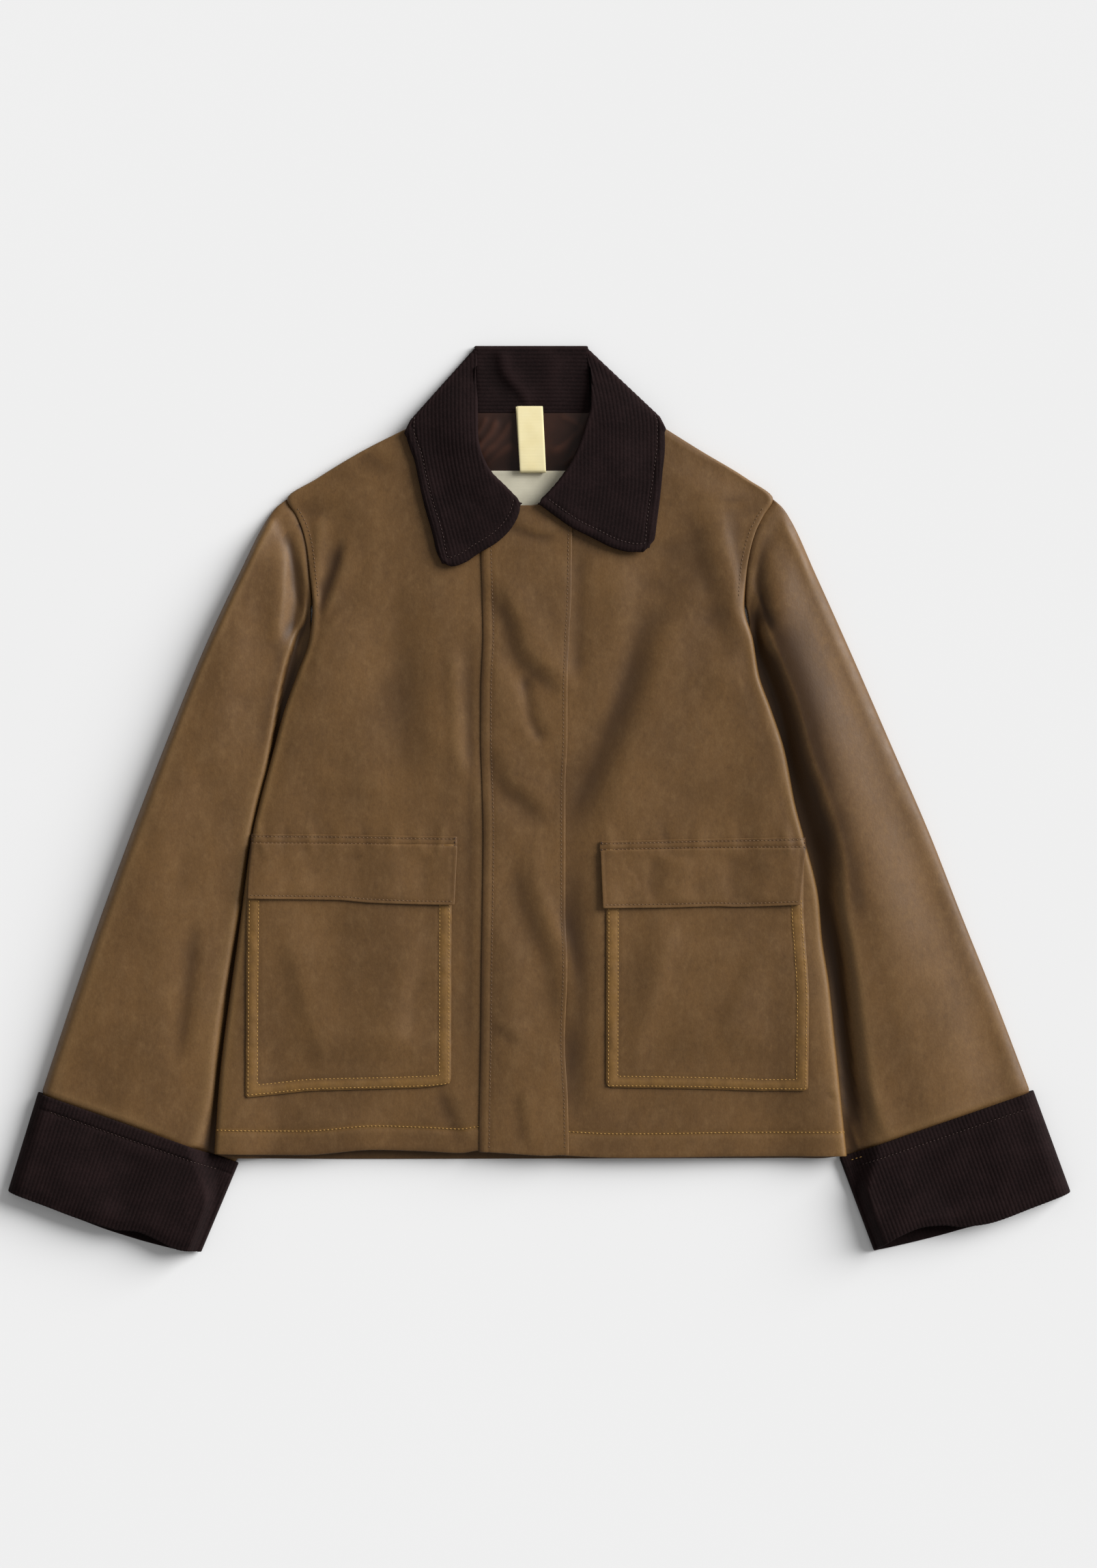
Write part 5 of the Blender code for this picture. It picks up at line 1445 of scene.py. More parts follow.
def leaf_row(wearer, sizes):
    """Row of stitches inside a leaf's outer edge and round to its front edge."""
    points, to_edge, to_front = leaf_points(leaf_flat(LEAVES[wearer], sizes.leaf_rows, sizes.leaf_columns))
    lanes = [(points[row], to_edge[row], to_front[row]) for row in range(5, len(points))]
    lanes += [(points[:, column], to_front[:, column], to_edge[:, column])
              for column in range(points.shape[1] - 1, 3, -1)]
    line = []
    for lane, away, other in lanes:
        lane, away, other = lane[::-1], away[::-1], other[::-1]
        if np.interp(LEAF_ROW, away, other) > LEAF_ROW and away[-1] > LEAF_ROW:
            line.append([np.interp(LEAF_ROW, away, lane[:, axis]) for axis in range(3)])
    return np.array(line) + (0.0, 0.0, 0.25)


def fold_inward(flat):
    """Way in from a leaf's fold: square to it at the roll, along the free edge at its other end."""
    along_fold = flat[0, -1] - flat[0, 0]
    square = np.array((-along_fold[1], along_fold[0])) / np.linalg.norm(along_fold)
    edge = flat[4, -1] - flat[0, -1]
    square = square * np.sign(square @ edge)
    by_edge = edge / (square @ edge)
    share = np.linspace(0.0, 1.0, flat.shape[1])[:, None]
    return square * (1.0 - share) + by_edge * share


def collar_fall_grid(rows, columns):
    """Outside points of the fall: right leaf, round its fold, under the back neck, round, left leaf."""
    leaves, turns, wales = {}, {}, {}
    across = np.linspace(0.0, 1.0, columns)
    for wearer in ("right", "left"):
        leaf = LEAVES[wearer]
        flat = leaf_flat(leaf, rows, columns)
        points, _, _ = leaf_points(flat)
        inward = fold_inward(flat)
        half = points[0, :, 2:] / 2.0
        deep = np.minimum(half, FOLD_DEPTH)
        turned = []
        for angle in np.radians(FOLD_ANGLES):
            line = points[0].copy()
            line[:, :2] += deep * (1.0 - np.cos(angle)) * inward
            line[:, 2:] = half * (1.0 + np.sin(angle))
            turned.append(line)
        follow = np.clip(1.0 - np.arange(rows) / FOLD_ROWS, 0.0, 1.0)[:, None, None]
        points[..., :2] += follow * deep * inward
        x, y = points[..., 0], points[..., 1]
        leaves[wearer], turns[wearer] = points, turned
        wales[wearer] = x - read(leaf["lean"], y, 1)
    right_foot, left_foot = turns["right"][-1], turns["left"][-1]
    back = []
    for share in np.linspace(0.0, 1.0, 24)[1:-1]:
        line = right_foot + (left_foot - right_foot) * share
        reach = smooth(min(share, 1.0 - share) * 5.0)
        line[:, 1] += ((FALL_EDGE - line[-1, 1]) * across - FALL_TOP_DROP * (1.0 - across)) * reach
        back.append(line)
    lines = list(leaves["right"][::-1]) + turns["right"] + back + turns["left"][::-1] + list(leaves["left"])
    turn_count = len(FOLD_ANGLES)
    ribs = np.concatenate((wales["right"][::-1], np.repeat(wales["right"][:1], turn_count, axis=0),
                           np.repeat(wales["right"][:1], len(back), axis=0),
                           np.repeat(wales["left"][:1], turn_count, axis=0), wales["left"]))
    return curl_under(np.array(lines), rows), ribs


def curl_under(points, leaf_rows):
    """Turn the leaves' roll line down and under; elsewhere the added columns stay short and flat."""
    inward = points[:, 0] - points[:, 3]
    inward[:, 2] = 0.0
    inward = inward / np.linalg.norm(inward, axis=1, keepdims=True)
    count = len(points)
    place = np.minimum(np.arange(count), np.arange(count)[::-1]) / leaf_rows
    amount = (smooth((0.92 - place) / 0.3) * smooth(place / 0.03))[:, None]
    added = []
    for step in range(1, 7):
        angle = math.pi * step / 6.0
        column = points[:, 0] + inward * ROLL_RADIUS * math.sin(angle) * amount
        column[:, 2] -= ROLL_RADIUS * (1.0 - math.cos(angle)) * amount[:, 0]
        added.append(column + inward * (0.2 * step) * (1.0 - amount))
    tail = added[-1] - inward * 6.0 * amount + inward * 0.2 * (1.0 - amount)
    return np.concatenate((np.stack([tail] + added[::-1], axis=1), points), axis=1)


def stand_grid(pitch):
    """Outside points of the stand, rows close enough to carry its ribs, rolled over at its top."""
    flat_rows = steps(STAND_FOOT, STAND_TOP - STAND_ROLL, pitch / POINTS_TO_RIB)
    rows = [(y, ROLL_HEIGHT) for y in flat_rows]
    for angle in np.radians(np.linspace(0.0, 90.0, 9)[1:]):
        rows.append((STAND_TOP - STAND_ROLL * (1.0 - math.sin(angle)),
                     ROLL_HEIGHT - STAND_ROLL * (1.0 - math.cos(angle))))
    rows.append((STAND_TOP, 0.6))
    rows = np.array(rows)
    right = read(STAND_SIDES, rows[:, 0], 1)[:, None]
    left = read(STAND_SIDES, rows[:, 0], 2)[:, None]
    x = right + (left - right) * np.linspace(0.0, 1.0, 34)
    y = np.repeat(rows[:, :1], x.shape[1], axis=1)
    z = np.repeat(rows[:, 1:], x.shape[1], axis=1)
    z = z + fold_height(STAND_FOLDS, x, y) * smooth((369.4 - y) / 6.0)
    gaps = np.linalg.norm(np.diff(rows, axis=0), axis=1)
    ribs = np.concatenate(([0.0], np.cumsum(gaps)))
    return np.stack((x, y, z), axis=-1), np.repeat(ribs[:, None], x.shape[1], axis=1)


# Neck

def lining_height(x, y):
    return back_under(x, y) + BACK_TOP + REST + 1.0 + np.maximum(fold_height(LINING_FOLDS, x, y), -0.3)


def lining_grid():
    y = steps(314.8, 222.0, 1.6)[:, None]
    right, left = read(LINING, y, 1), read(LINING, y, 2)
    x = right + (left - right) * np.linspace(0.0, 1.0, 66)
    y = np.repeat(y, x.shape[1], axis=1)
    return np.stack((x, y, lining_height(x, y)), axis=-1)


def label_grid():
    y = steps(LABEL["top"], LABEL["foot"], 1.6)[:, None]
    x = steps(LABEL["right"], LABEL["left"], 1.6)[None, :]
    x, y = np.broadcast_arrays(x, y)
    z = back_under(x, y) + BACK_TOP + 2.0 * REST + 2.0 + rippled(x, y, "label")
    z = z + 0.3 * smooth((y - LABEL["top"] + 4.0) / 4.0)
    return np.stack((x, y, z), axis=-1)


def loop_grid():
    """Tape folded double: down from the stand's seam, round at the foot and back up below."""
    down = steps(LOOP["top"], LOOP["foot"] + 1.6, 1.6)
    length = LOOP["top"] - LOOP["foot"]
    rows = [(y, LOOP["upper"] + LOOP["bow"] * math.sin(math.pi * (LOOP["top"] - y) / length)) for y in down]
    centre, radius = (LOOP["upper"] + LOOP["lower"]) / 2.0, (LOOP["upper"] - LOOP["lower"]) / 2.0
    for angle in np.radians((30.0, 60.0, 90.0, 120.0, 150.0)):
        rows.append((LOOP["foot"] + 1.6 - 1.6 * math.sin(angle), centre + radius * math.cos(angle)))
    rows += [(y, LOOP["lower"]) for y in down[::-1]]
    rows = np.array(rows)
    share = (LOOP["top"] - rows[:, 0]) / length
    middle = LOOP["shift"][0] + (LOOP["shift"][1] - LOOP["shift"][0]) * share
    under = np.arange(len(rows)) >= len(down) + 3
    middle = middle - 0.9 * under * (1.0 - share)
    x = middle[:, None] + np.linspace(-0.5, 0.5, 15) * LOOP["width"]
    y = np.repeat(rows[:, :1], x.shape[1], axis=1)
    z = np.repeat(rows[:, 1:], x.shape[1], axis=1) + rippled(x, y, "loop")
    return np.stack((x, y, z), axis=-1)


# Stitching lines

def lifted(x, y, z, rise=0.12):
    """Line of points a little above a surface."""
    return np.stack((x, y, z + rise), axis=-1)


def line_over(height, x, y, rise=0.12):
    x, y = np.broadcast_arrays(np.asarray(x, dtype=float), np.asarray(y, dtype=float))
    return lifted(x, y, height(x, y), rise)


def patch_line(wearer, depth, top):
    """Line at a depth inside a pocket's two sides and foot, from its top round to its top."""
    first, second = pocket_sides(wearer)
    foot = POCKETS[wearer]["foot"]
    left_y = steps(top, read(foot, read(first, -235.0, 1) + depth, 1) + depth, 2.0)
    right_y = steps(read(foot, read(second, -235.0, 1) - depth, 1) + depth, top, 2.0)
    left_x = read(first, left_y, 1) + depth
    right_x = read(second, right_y, 1) - depth
    foot_x = steps(left_x[-1], right_x[0], 2.0)[1:-1]
    foot_y = read(foot, foot_x, 1) + depth
    x = np.concatenate((left_x, foot_x, right_x))
    y = np.concatenate((left_y, foot_y, right_y))
    return x, y


def gold_lines(sizes):
    """Rows in golden thread: pocket borders and hem."""
    lines = []
    for wearer in ("right", "left"):
        for depth in (POCKET_ROW, POCKET_BAND):
            x, y = patch_line(wearer, depth, -84.0)
            lines.append(line_over(lambda a, b, w=wearer: pocket_height(a, b, w), x, y))
    hem = sizes.hem_depth / MM
    for start, end in ((-262.0, -49.5), (25.0, 249.0)):
        x = steps(start, end, 2.0)
        lines.append(line_over(front_height, x, read(FRONT_HEM, x, 1) + hem, rise=0.1))
    lines.append(cuff_tack(sizes))
    return lines


def brown_lines():
    """Rows in thread of the cloth's own colour: strips, flaps, placket, armholes."""
    lines = []
    for wearer in ("right", "left"):
        band = BANDS[wearer]
        x = steps(band[0][0] + 1.5, band[-1][0] - 1.5, 2.0)
        for y in (read(band, x, 1) - BAND_ROW, read(band, x, 2) + BAND_ROW):
            lines.append(line_over(lambda a, b, w=wearer: band_height(a, b, w), x, y))
        flap = FLAPS[wearer]
        x = steps(flap["foot"][0][0] + FLAP_ROW, flap["foot"][-1][0] - FLAP_ROW, 2.0)
        y = read(flap["foot"], x, 1) + FLAP_ROW
        lines.append(line_over(lambda a, b, w=wearer: flap_height(a, b, w), x, y))
        sign = 1.0 if wearer == "right" else -1.0
        y = steps(236.0, 166.0, 2.0)
        lines.append(line_over(front_height, side_x(y, wearer) + sign * 5.0, y))
    y = steps(234.0, -284.0, 2.0)
    right, left = placket_edges(y)
    for x in (right + PLACKET_ROWS[0], left - PLACKET_ROWS[1]):
        lines.append(line_over(placket_height, x, y))
    return lines


def umber_lines(sizes):
    """Rows in dark thread: collar leaves, tops of the cuffs and the tacks at the ends of the strips."""
    lines = []
    for wearer in ("right", "left"):
        lines.append(leaf_row(wearer, sizes))
        grid, top_count = cuff_grid(wearer, sizes.wale_pitch / MM)
        lines.append(grid[CUFF_SHARES.index(CUFF_ROW), 30:top_count - 30] + (0.0, 0.0, 0.3))
        band = BANDS[wearer]
        for x in (band[0][0] + 1.2, band[-1][0] - 1.2):
            y = steps(float(read(band, x, 1)) - 0.8, float(read(band, x, 2)) + 0.8, 1.0)
            lines.append(line_over(lambda a, b, w=wearer: band_height(a, b, w), x, y, rise=0.2))
    return lines


def cuff_tack(sizes):
    """Golden tack that holds the top of the left cuff to its sleeve."""
    grid, top_count = cuff_grid("left", sizes.wale_pitch / MM)
    return grid[CUFF_SHARES.index(0.05), round(top_count * 0.055):round(top_count * 0.10)] + (0.0, 0.0, 0.35)


# Settings

def length_property(name, default, description, precision=4):
    return FloatProperty(name=name, description=description, default=default, unit="LENGTH",
                         precision=precision)


class JacketSizes(bpy.types.PropertyGroup):
    """Sizes of the cloth, its ribs and its stitches."""
    cotton: length_property("Cotton", 0.0012, "Thickness of the waxed cotton")
    corduroy: length_property("Corduroy", 0.0020, "Thickness of the corduroy with its facing")
    lining: length_property("Lining", 0.0008, "Thickness of lining, label and tape")
    wale_pitch: length_property("Wale pitch", 0.0032, "Distance from one rib to the next")
    wale_height: length_property("Wale height", 0.00034, "Height of a rib over its furrows", precision=5)
    stitch_length: length_property("Stitch", 0.0023, "Length of a stitch")
    stitch_gap: length_property("Stitch gap", 0.0009, "Gap between two stitches")
    thread_width: length_property("Thread", 0.0007, "Width of the sewing thread")
    hem_depth: length_property("Hem", 0.0192, "Depth of the fronts' hem")
    panel_grid: FloatProperty(name="Panel grid", description="Spacing of the points of the large panels, "
                              "in millimetres", default=2.7, min=1.5, max=12.0)
    patch_grid: FloatProperty(name="Patch grid", description="Spacing of the points of pockets and flaps, "
                              "in millimetres", default=1.7, min=1.0, max=8.0)
    leaf_rows: IntProperty(name="Leaf rows", description="Rows of points down a collar leaf", default=112)
    leaf_columns: IntProperty(name="Leaf columns", description="Columns of points across a collar leaf",
                              default=124)


def colour_property(name, code, description):
    return FloatVectorProperty(name=name, description=description, subtype="COLOR", size=3, min=0.0, max=1.0,
                               default=linear(code))


class JacketColours(bpy.types.PropertyGroup):
    """Colours of the cloths and threads."""
    cotton: colour_property("Waxed cotton", "#6b4d2a", "Waxed cotton in the light")
    cotton_shade: colour_property("Cotton clouds", "#5d4223", "Darker clouds of wax in the cotton")
    # Worn cotton also stands for painted highlight on ridges.
    cotton_worn_and_lit: colour_property("Worn cotton", "#83653f", "Ridges where the wax has rubbed off")
    # Cotton hollows are painted shade in hollows and on slopes, and also random dark wax marks.
    cotton_dark_wax_and_shade: colour_property("Cotton hollows", "#38230d", "Hollows where the wax gathers")
    # The sewn-border colour also paints shade along the fronts' lower side edges.
    cotton_gold: colour_property("Sewn border", "#87622a", "Border cloth tinted by its golden rows")
    corduroy: colour_property("Corduroy", "#1a1010", "Ribs of the corduroy")
    # Corduroy furrows are painted shade in the furrows and hollows, and also random dark tufts.
    corduroy_shade_and_dark_tufts: colour_property("Corduroy furrows", "#120a0a", "Furrows between the ribs")
    # Corduroy nap is random pale nap and also painted highlight on ridges.
    corduroy_nap_and_highlight: colour_property("Corduroy nap", "#271a1a", "Nap brushed to the light")
    satin: colour_property("Satin", "#2c1912", "Lining of the back neck")
    satin_light: colour_property("Satin gloss", "#4a2c20", "Creases of the lining in the light")
    satin_shade: colour_property("Satin shade", "#160c08", "Hollows of the lining")
    tape: colour_property("Tape", "#f1e4b4", "Hanging loop")
    tape_shade: colour_property("Tape shade", "#e7d69e", "Shaded threads of the hanging loop")
    label: colour_property("Label", "#d6d0ba", "Bare label")
    label_shade: colour_property("Label shade", "#bdb7a2", "Shaded threads of the label")
    gold_thread: colour_property("Golden thread", "#b38a45", "Rows on pockets and hem")
    brown_thread: colour_property("Brown thread", "#705437", "Rows on flaps, strips and placket")
    umber_thread: colour_property("Umber thread", "#38231d", "Rows on collar and cuffs")


class JacketStage(bpy.types.PropertyGroup):
    """Floor, light and camera."""
    floor: colour_property("Floor", "#f0f0f0", "Pale paper under the jacket")
    floor_size: length_property("Floor size", 8.0 * max(CAD_HIGH - CAD_LOW), "Side of the floor")
    key: FloatProperty(name="Key light", description="Strength of the soft light from the upper right",
                       default=5.2)
    key_height: FloatProperty(name="Key height", description="Height of the key light over the floor",
                              subtype="ANGLE", default=math.radians(24.5))
    key_turn: FloatProperty(name="Key turn", description="Way to the key light, turned from +X towards +Y",
                            subtype="ANGLE", default=math.radians(28.0))
    key_spread: FloatProperty(name="Key spread", description="Softness of the key light", subtype="ANGLE",
                              default=math.radians(39.0))
    fill: FloatProperty(name="Fill light", description="Strength of the even light of the room", default=0.31)
    camera_height: length_property("Camera height", 3.919, "Height of the camera over the floor")
    camera_x: length_property("Camera X", 0.0081, "Middle of the picture, across")
    camera_y: length_property("Camera Y", 0.0117, "Middle of the picture, up")
    lens: FloatProperty(name="Lens", description="Focal length", default=110.0)


# Pieces

def cotton_piece(node, grid, shade_and_wear, gold=0.0, tube=False):
    """Wall of waxed cotton on a grid of outside points, in place of its node."""
    cotton = bpy.context.scene.jacket_sizes.cotton / MM
    mesh = wall_mesh(node, grid, cotton, tube=tube, fields={"shade_and_wear": (shade_and_wear, 1.0), "gold": (gold, 0.0)})
    return add_piece(node + "_cloth", mesh, jacket_material("waxed_cotton_cloth"), (node,))


def corduroy_piece(node, grid, ribs, shade_and_wear, pile=(1.0, 0.0), tube=False):
    """Wall of corduroy on a grid of outside points with its ribs raised, in place of its node."""
    sizes = bpy.context.scene.jacket_sizes
    material = jacket_material("cotton_corduroy_pile")
    fields = {"across": (ribs * MM, 1.0), "pile": pile, "shade_and_wear": (shade_and_wear, 1.0)}
    mesh = wall_mesh(node, grid, sizes.corduroy / MM, tube=tube, fields=fields)
    return add_piece(node + "_pile", with_wales(mesh, sizes, material), material, (node,))


# Operators

class JACKET_OT_stage(bpy.types.Operator):
    """Make the floor, the soft light and the camera that looks straight down"""
    bl_idname = "jacket.stage"
    bl_label = "Stage"

    def execute(self, context):
        stage = context.scene.jacket_stage
        half = stage.floor_size / 2.0
        mesh = bpy.data.meshes.new("floor")
        shape = bmesh.new()
        bmesh.ops.create_grid(shape, x_segments=1, y_segments=1, size=half)
        shape.to_mesh(mesh)
        shape.free()
        mesh.materials.append(paper(stage.floor))
        floor = bpy.data.objects.new("floor", mesh)
        context.scene.collection.objects.link(floor)
        key = bpy.data.lights.new("key", "SUN")
        key.energy = stage.key
        key.angle = stage.key_spread
        lamp = bpy.data.objects.new("key", key)
        way = Vector((math.cos(stage.key_turn) * math.cos(stage.key_height),
                      math.sin(stage.key_turn) * math.cos(stage.key_height), math.sin(stage.key_height)))
        lamp.rotation_euler = way.to_track_quat("Z", "Y").to_euler()
        lamp.location = way * 3.0
        context.scene.collection.objects.link(lamp)
        world = bpy.data.worlds.new("studio")
        world.use_nodes = True
        world.node_tree.nodes["Background"].inputs["Color"].default_value = (1.0, 1.0, 1.0, 1.0)
        world.node_tree.nodes["Background"].inputs["Strength"].default_value = stage.fill
        context.scene.world = world
        context.scene.view_settings.view_transform = "Standard"
        lens = bpy.data.cameras.new("camera")
        lens.lens = stage.lens
        lens.sensor_width = 36.0
        lens.clip_end = 20.0
        camera = bpy.data.objects.new("camera", lens)
        camera.location = (stage.camera_x, stage.camera_y, stage.camera_height)
        context.scene.collection.objects.link(camera)
        context.scene.camera = camera
        return {"FINISHED"}


class JACKET_OT_back(bpy.types.Operator):
    """Make the back body, flat on the floor, whose hem shows below the fronts"""
    bl_idname = "jacket.back"
    bl_label = "Back"

    def execute(self, context):
        # The back is painted darker all over: painted shade where it shows under the fronts' hem.
        piece = cotton_piece("back", back_grid(BACK_GRID), -0.55)
        return {"FINISHED"}


class JACKET_OT_fronts(bpy.types.Operator):
    """Make both fronts with their folds, hems and side edges"""
    bl_idname = "jacket.fronts"
    bl_label = "Fronts"

    def execute(self, context):
        sizes = context.scene.jacket_sizes
        for wearer, width, area in (("right", 0.265, 0.124), ("left", 0.275, 0.128)):
            grid, shade_and_wear, gold = front_cloth(wearer, sizes)
            piece = cotton_piece("front_" + wearer, grid, shade_and_wear, gold=gold)
        return {"FINISHED"}


class JACKET_OT_placket(bpy.types.Operator):
    """Make the placket that covers the closing"""
    bl_idname = "jacket.placket"
    bl_label = "Placket"

    def execute(self, context):
        sizes = context.scene.jacket_sizes
        x, y = placket_grid(sizes.patch_grid + 0.3)
        z = placket_height(x, y)
        # Ridges are painted lighter, hollows and slopes darker: painted highlight and shade.
        shade_and_wear = shade_and_wear_of(z, slope_shade=slope_height(FRONT_SLOPES, x, y)[1])
        piece = cotton_piece("placket", np.stack((x, y, z), axis=-1), shade_and_wear)
        return {"FINISHED"}


class JACKET_OT_pockets(bpy.types.Operator):
    """Make the patch pockets, the strips over their tops and their flaps"""
    bl_idname = "jacket.pockets"
    bl_label = "Pockets"

    def execute(self, context):
        sizes = context.scene.jacket_sizes
        for wearer in ("right", "left"):
            pocket = POCKETS[wearer]
            top = ((-240.0, pocket["top"]), (230.0, pocket["top"]))
            x, y = rounded_patch(pocket["outer"], pocket["inner"], top, pocket["foot"], pocket["rounds"],
                                 sizes.patch_grid)
            z = pocket_height(x, y, wearer)
            first, second = pocket_sides(wearer)
            nearest = np.minimum.reduce(from_edges(x, y, first, second, pocket["foot"]))
            gold = smooth((POCKET_BAND + 1.6 - nearest) / 2.4) * (0.55 + rippled(x, y, "golden border"))
            grid = np.stack((x, y, z), axis=-1)
            # Pockets, strips and flaps get painted highlight on ridges and painted shade in hollows; each
            # strip is also painted a little darker all over.
            piece = cotton_piece("pocket_" + wearer, grid, shade_and_wear_of(z, broad=30), gold=gold)
            band = BANDS[wearer]
            x = steps(band[0][0], band[-1][0], sizes.patch_grid)[None, :]
            down = np.linspace(0.0, 1.0, 8)[:, None]
            y = read(band, x, 1) + (read(band, x, 2) - read(band, x, 1)) * down
            x = np.repeat(x, 8, axis=0)
            z = band_height(x, y, wearer)
            grid = np.stack((x, y, z), axis=-1)
            piece = cotton_piece("band_" + wearer, grid, shade_and_wear_of(z, broad=20) - 0.15)
            flap = FLAPS[wearer]
            x, y = rounded_patch(flap["outer"], flap["inner"], flap["top"], flap["foot"], (0.6, 0.6),
                                 sizes.patch_grid)
            z = flap_height(x, y, wearer)
            grid = np.stack((x, y, z), axis=-1)
            piece = cotton_piece("flap_" + wearer, grid, shade_and_wear_of(z, broad=30))
        return {"FINISHED"}


class JACKET_OT_sleeves(bpy.types.Operator):
    """Make both sleeves, flat tubes with their valleys beside the body"""
    bl_idname = "jacket.sleeves"
    bl_label = "Sleeves"

    def execute(self, context):
        sizes = context.scene.jacket_sizes
        for wearer in ("right", "left"):
            grid, top_count = sleeve_grid(wearer, sizes)
            # The underside is painted darker: painted shade; the top gets painted highlight and shade from
            # its heights and the painted shadow of the body beside it.
            shade_and_wear = np.full(grid.shape[:2], -0.3)
            x, y, z = (grid[:, :top_count, axis] for axis in range(3))
            slope_shade = slope_height(SLEEVE_SLOPES[wearer], x, y)[1]
            shade_and_wear[:, :top_count] = shade_and_wear_of(z, fine=7, broad=60, slope_shade=slope_shade)
            outer = slice(top_count - OUTER_COLUMNS, None)
            shade_and_wear[:, outer] = np.maximum(shade_and_wear[:, outer], 0.0)
            piece = cotton_piece("sleeve_" + wearer, grid, shade_and_wear, tube=True)
        return {"FINISHED"}


class JACKET_OT_cuffs(bpy.types.Operator):
    """Make both turned-back corduroy cuffs"""
    bl_idname = "jacket.cuffs"
    bl_label = "Cuffs"

    def execute(self, context):
        sizes = context.scene.jacket_sizes
        for wearer in ("right", "left"):
            grid, top_count = cuff_grid(wearer, sizes.wale_pitch / MM)
            middle = grid[len(grid) // 2]
            gaps = np.linalg.norm(np.diff(middle, axis=0), axis=1)
            ribs = np.concatenate(([0.0], np.cumsum(gaps)))
            # The underside is painted darker and the top gets painted highlight and shade from its heights.
            shade_and_wear = np.full(grid.shape[:2], -0.3)
            shade_and_wear[:, :top_count] = shade_and_wear_of(grid[:, :top_count, 2], fine=2, broad=40) * 0.6
            pile = np.ones(grid.shape[:2])
            pile[:, top_count:] = 0.0
            piece = corduroy_piece("cuff_" + wearer, grid, ribs, shade_and_wear, pile=(pile, 0.6), tube=True)
        return {"FINISHED"}


class JACKET_OT_collar(bpy.types.Operator):
    """Make the collar: the fall with its two leaves, and the stand inside the back neck"""
    bl_idname = "jacket.collar"
    bl_label = "Collar"

    def execute(self, context):
        sizes = context.scene.jacket_sizes
        grid, ribs = collar_fall_grid(sizes.leaf_rows, sizes.leaf_columns)
        extra = grid.shape[1] - ribs.shape[1]
        ribs = np.concatenate((np.repeat(ribs[:, :1], extra, axis=1), ribs), axis=1)
        roll_reach = np.linalg.norm(grid[:, :extra] - grid[:, extra:extra + 1], axis=-1)
        toward = np.sign(grid[:, extra, 0] - grid[:, extra + 8, 0])[:, None]
        ribs[:, :extra] += toward * roll_reach
        # Ridges are painted lighter and hollows darker: painted highlight and shade.
        shade_and_wear = np.clip((grid[..., 2] - blurred(grid[..., 2], 60)) / 1.6, -0.6, 0.8)
        piece = corduroy_piece("collar_fall", grid, ribs, shade_and_wear)
        grid, ribs = stand_grid(sizes.wale_pitch / MM)
        # Ridges are painted lighter and hollows darker: painted highlight and shade.
        shade_and_wear = np.clip((grid[..., 2] - blurred(grid[..., 2], 40)) / 0.8, -0.8, 0.8)
        piece = corduroy_piece("collar_stand", grid, ribs, shade_and_wear)
        return {"FINISHED"}


class JACKET_OT_neck(bpy.types.Operator):
    """Make what shows inside the back neck: lining, bare label and hanging loop"""
    bl_idname = "jacket.neck"
    bl_label = "Neck"

    def execute(self, context):
        sizes = context.scene.jacket_sizes
        grid = lining_grid()
        # Creases are painted lighter and hollows darker: painted highlight and shade.
        shade_and_wear = np.clip((grid[..., 2] - blurred(grid[..., 2], 12)) / 0.5, -1.0, 1.0)
        mesh = wall_mesh("lining", grid, sizes.lining / MM, fields={"shade_and_wear": (shade_and_wear, 1.0)})
        piece = add_piece("lining_neck_satin", mesh, jacket_material("viscose_satin_lining"),
                          ("lining_neck",))
        mesh = wall_mesh("label", label_grid(), sizes.lining / MM)
        piece = add_piece("label_cloth", mesh, jacket_material("woven_label_cloth"),
                          ("label",))
        mesh = wall_mesh("loop", loop_grid(), sizes.lining / MM)
        piece = add_piece("hanger_loop_tape", mesh, jacket_material("cotton_hanging_tape"), ("hanger_loop",))
        return {"FINISHED"}


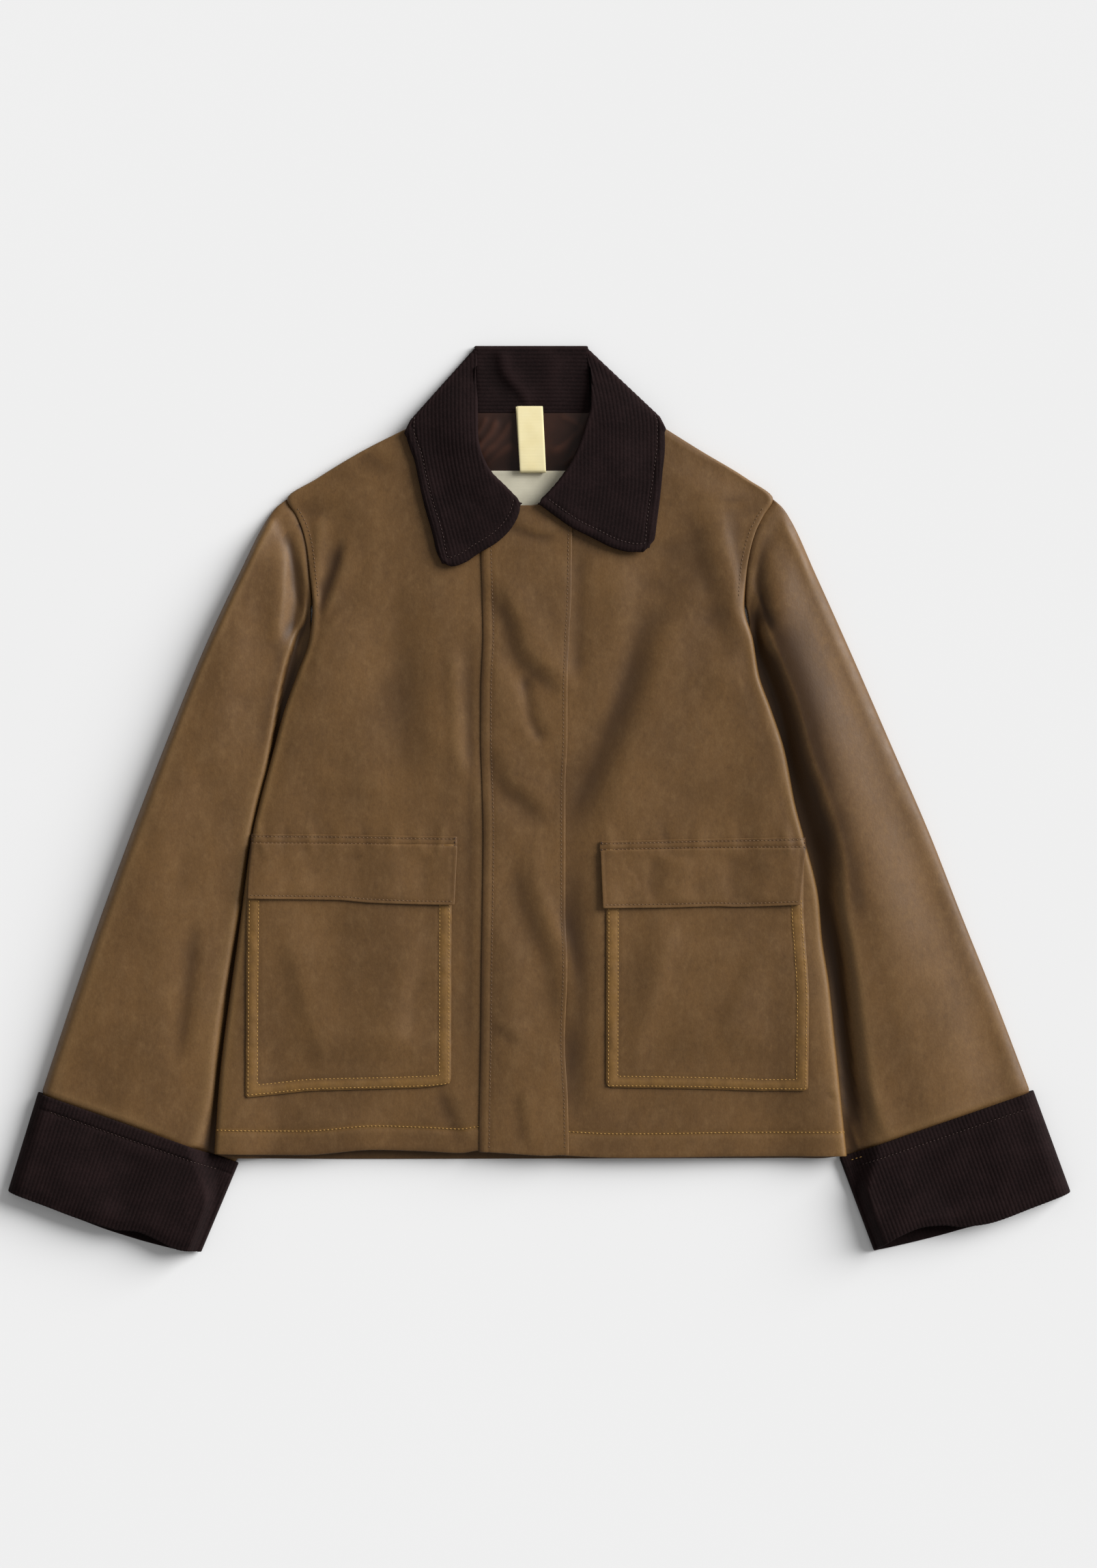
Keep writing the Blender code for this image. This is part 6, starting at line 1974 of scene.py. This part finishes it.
class JACKET_OT_stitching(bpy.types.Operator):
    """Sew the rows of stitches in golden, brown and dark thread"""
    bl_idname = "jacket.stitching"
    bl_label = "Stitching"

    def execute(self, context):
        sizes = context.scene.jacket_sizes
        for name, lines, finish in (
            ("stitches_gold", gold_lines(sizes), "golden_polyester_thread"),
            ("stitches_brown", brown_lines(), "brown_polyester_thread"),
            ("stitches_umber", umber_lines(sizes), "umber_polyester_thread"),
        ):
            material = jacket_material(finish)
            add_piece(name, stitched(name, lines, sizes, material), material)
        return {"FINISHED"}


class JACKET_PT_pieces(bpy.types.Panel):
    """Lists the jacket's sizes, colours and pieces"""
    bl_idname = "JACKET_PT_pieces"
    bl_label = "Waxed Cotton Jacket"
    bl_space_type = "VIEW_3D"
    bl_region_type = "UI"
    bl_category = "Jacket"

    def draw(self, context):
        for group in (context.scene.jacket_sizes, context.scene.jacket_colours, context.scene.jacket_stage):
            box = self.layout.box()
            for key in group.__annotations__:
                box.prop(group, key)
        for operator in OPERATORS:
            self.layout.operator(operator.bl_idname)


OPERATORS = (
    JACKET_OT_stage, JACKET_OT_back, JACKET_OT_fronts, JACKET_OT_placket, JACKET_OT_pockets,
    JACKET_OT_sleeves, JACKET_OT_cuffs, JACKET_OT_collar, JACKET_OT_neck, JACKET_OT_stitching,
)
CLASSES = (JacketSizes, JacketColours, JacketStage, *OPERATORS, JACKET_PT_pieces)


def register():
    for item in CLASSES:
        bpy.utils.register_class(item)
    bpy.types.Scene.jacket_sizes = PointerProperty(type=JacketSizes)
    bpy.types.Scene.jacket_colours = PointerProperty(type=JacketColours)
    bpy.types.Scene.jacket_stage = PointerProperty(type=JacketStage)


def unregister():
    del bpy.types.Scene.jacket_stage
    del bpy.types.Scene.jacket_colours
    del bpy.types.Scene.jacket_sizes
    for item in reversed(CLASSES):
        bpy.utils.unregister_class(item)


def main():
    register()
    bpy.ops.jacket.stage()
    bpy.ops.jacket.back()
    bpy.ops.jacket.fronts()
    bpy.ops.jacket.placket()
    bpy.ops.jacket.pockets()
    bpy.ops.jacket.sleeves()
    bpy.ops.jacket.cuffs()
    bpy.ops.jacket.collar()
    bpy.ops.jacket.neck()
    bpy.ops.jacket.stitching()


if __name__ == "__main__":
    main()
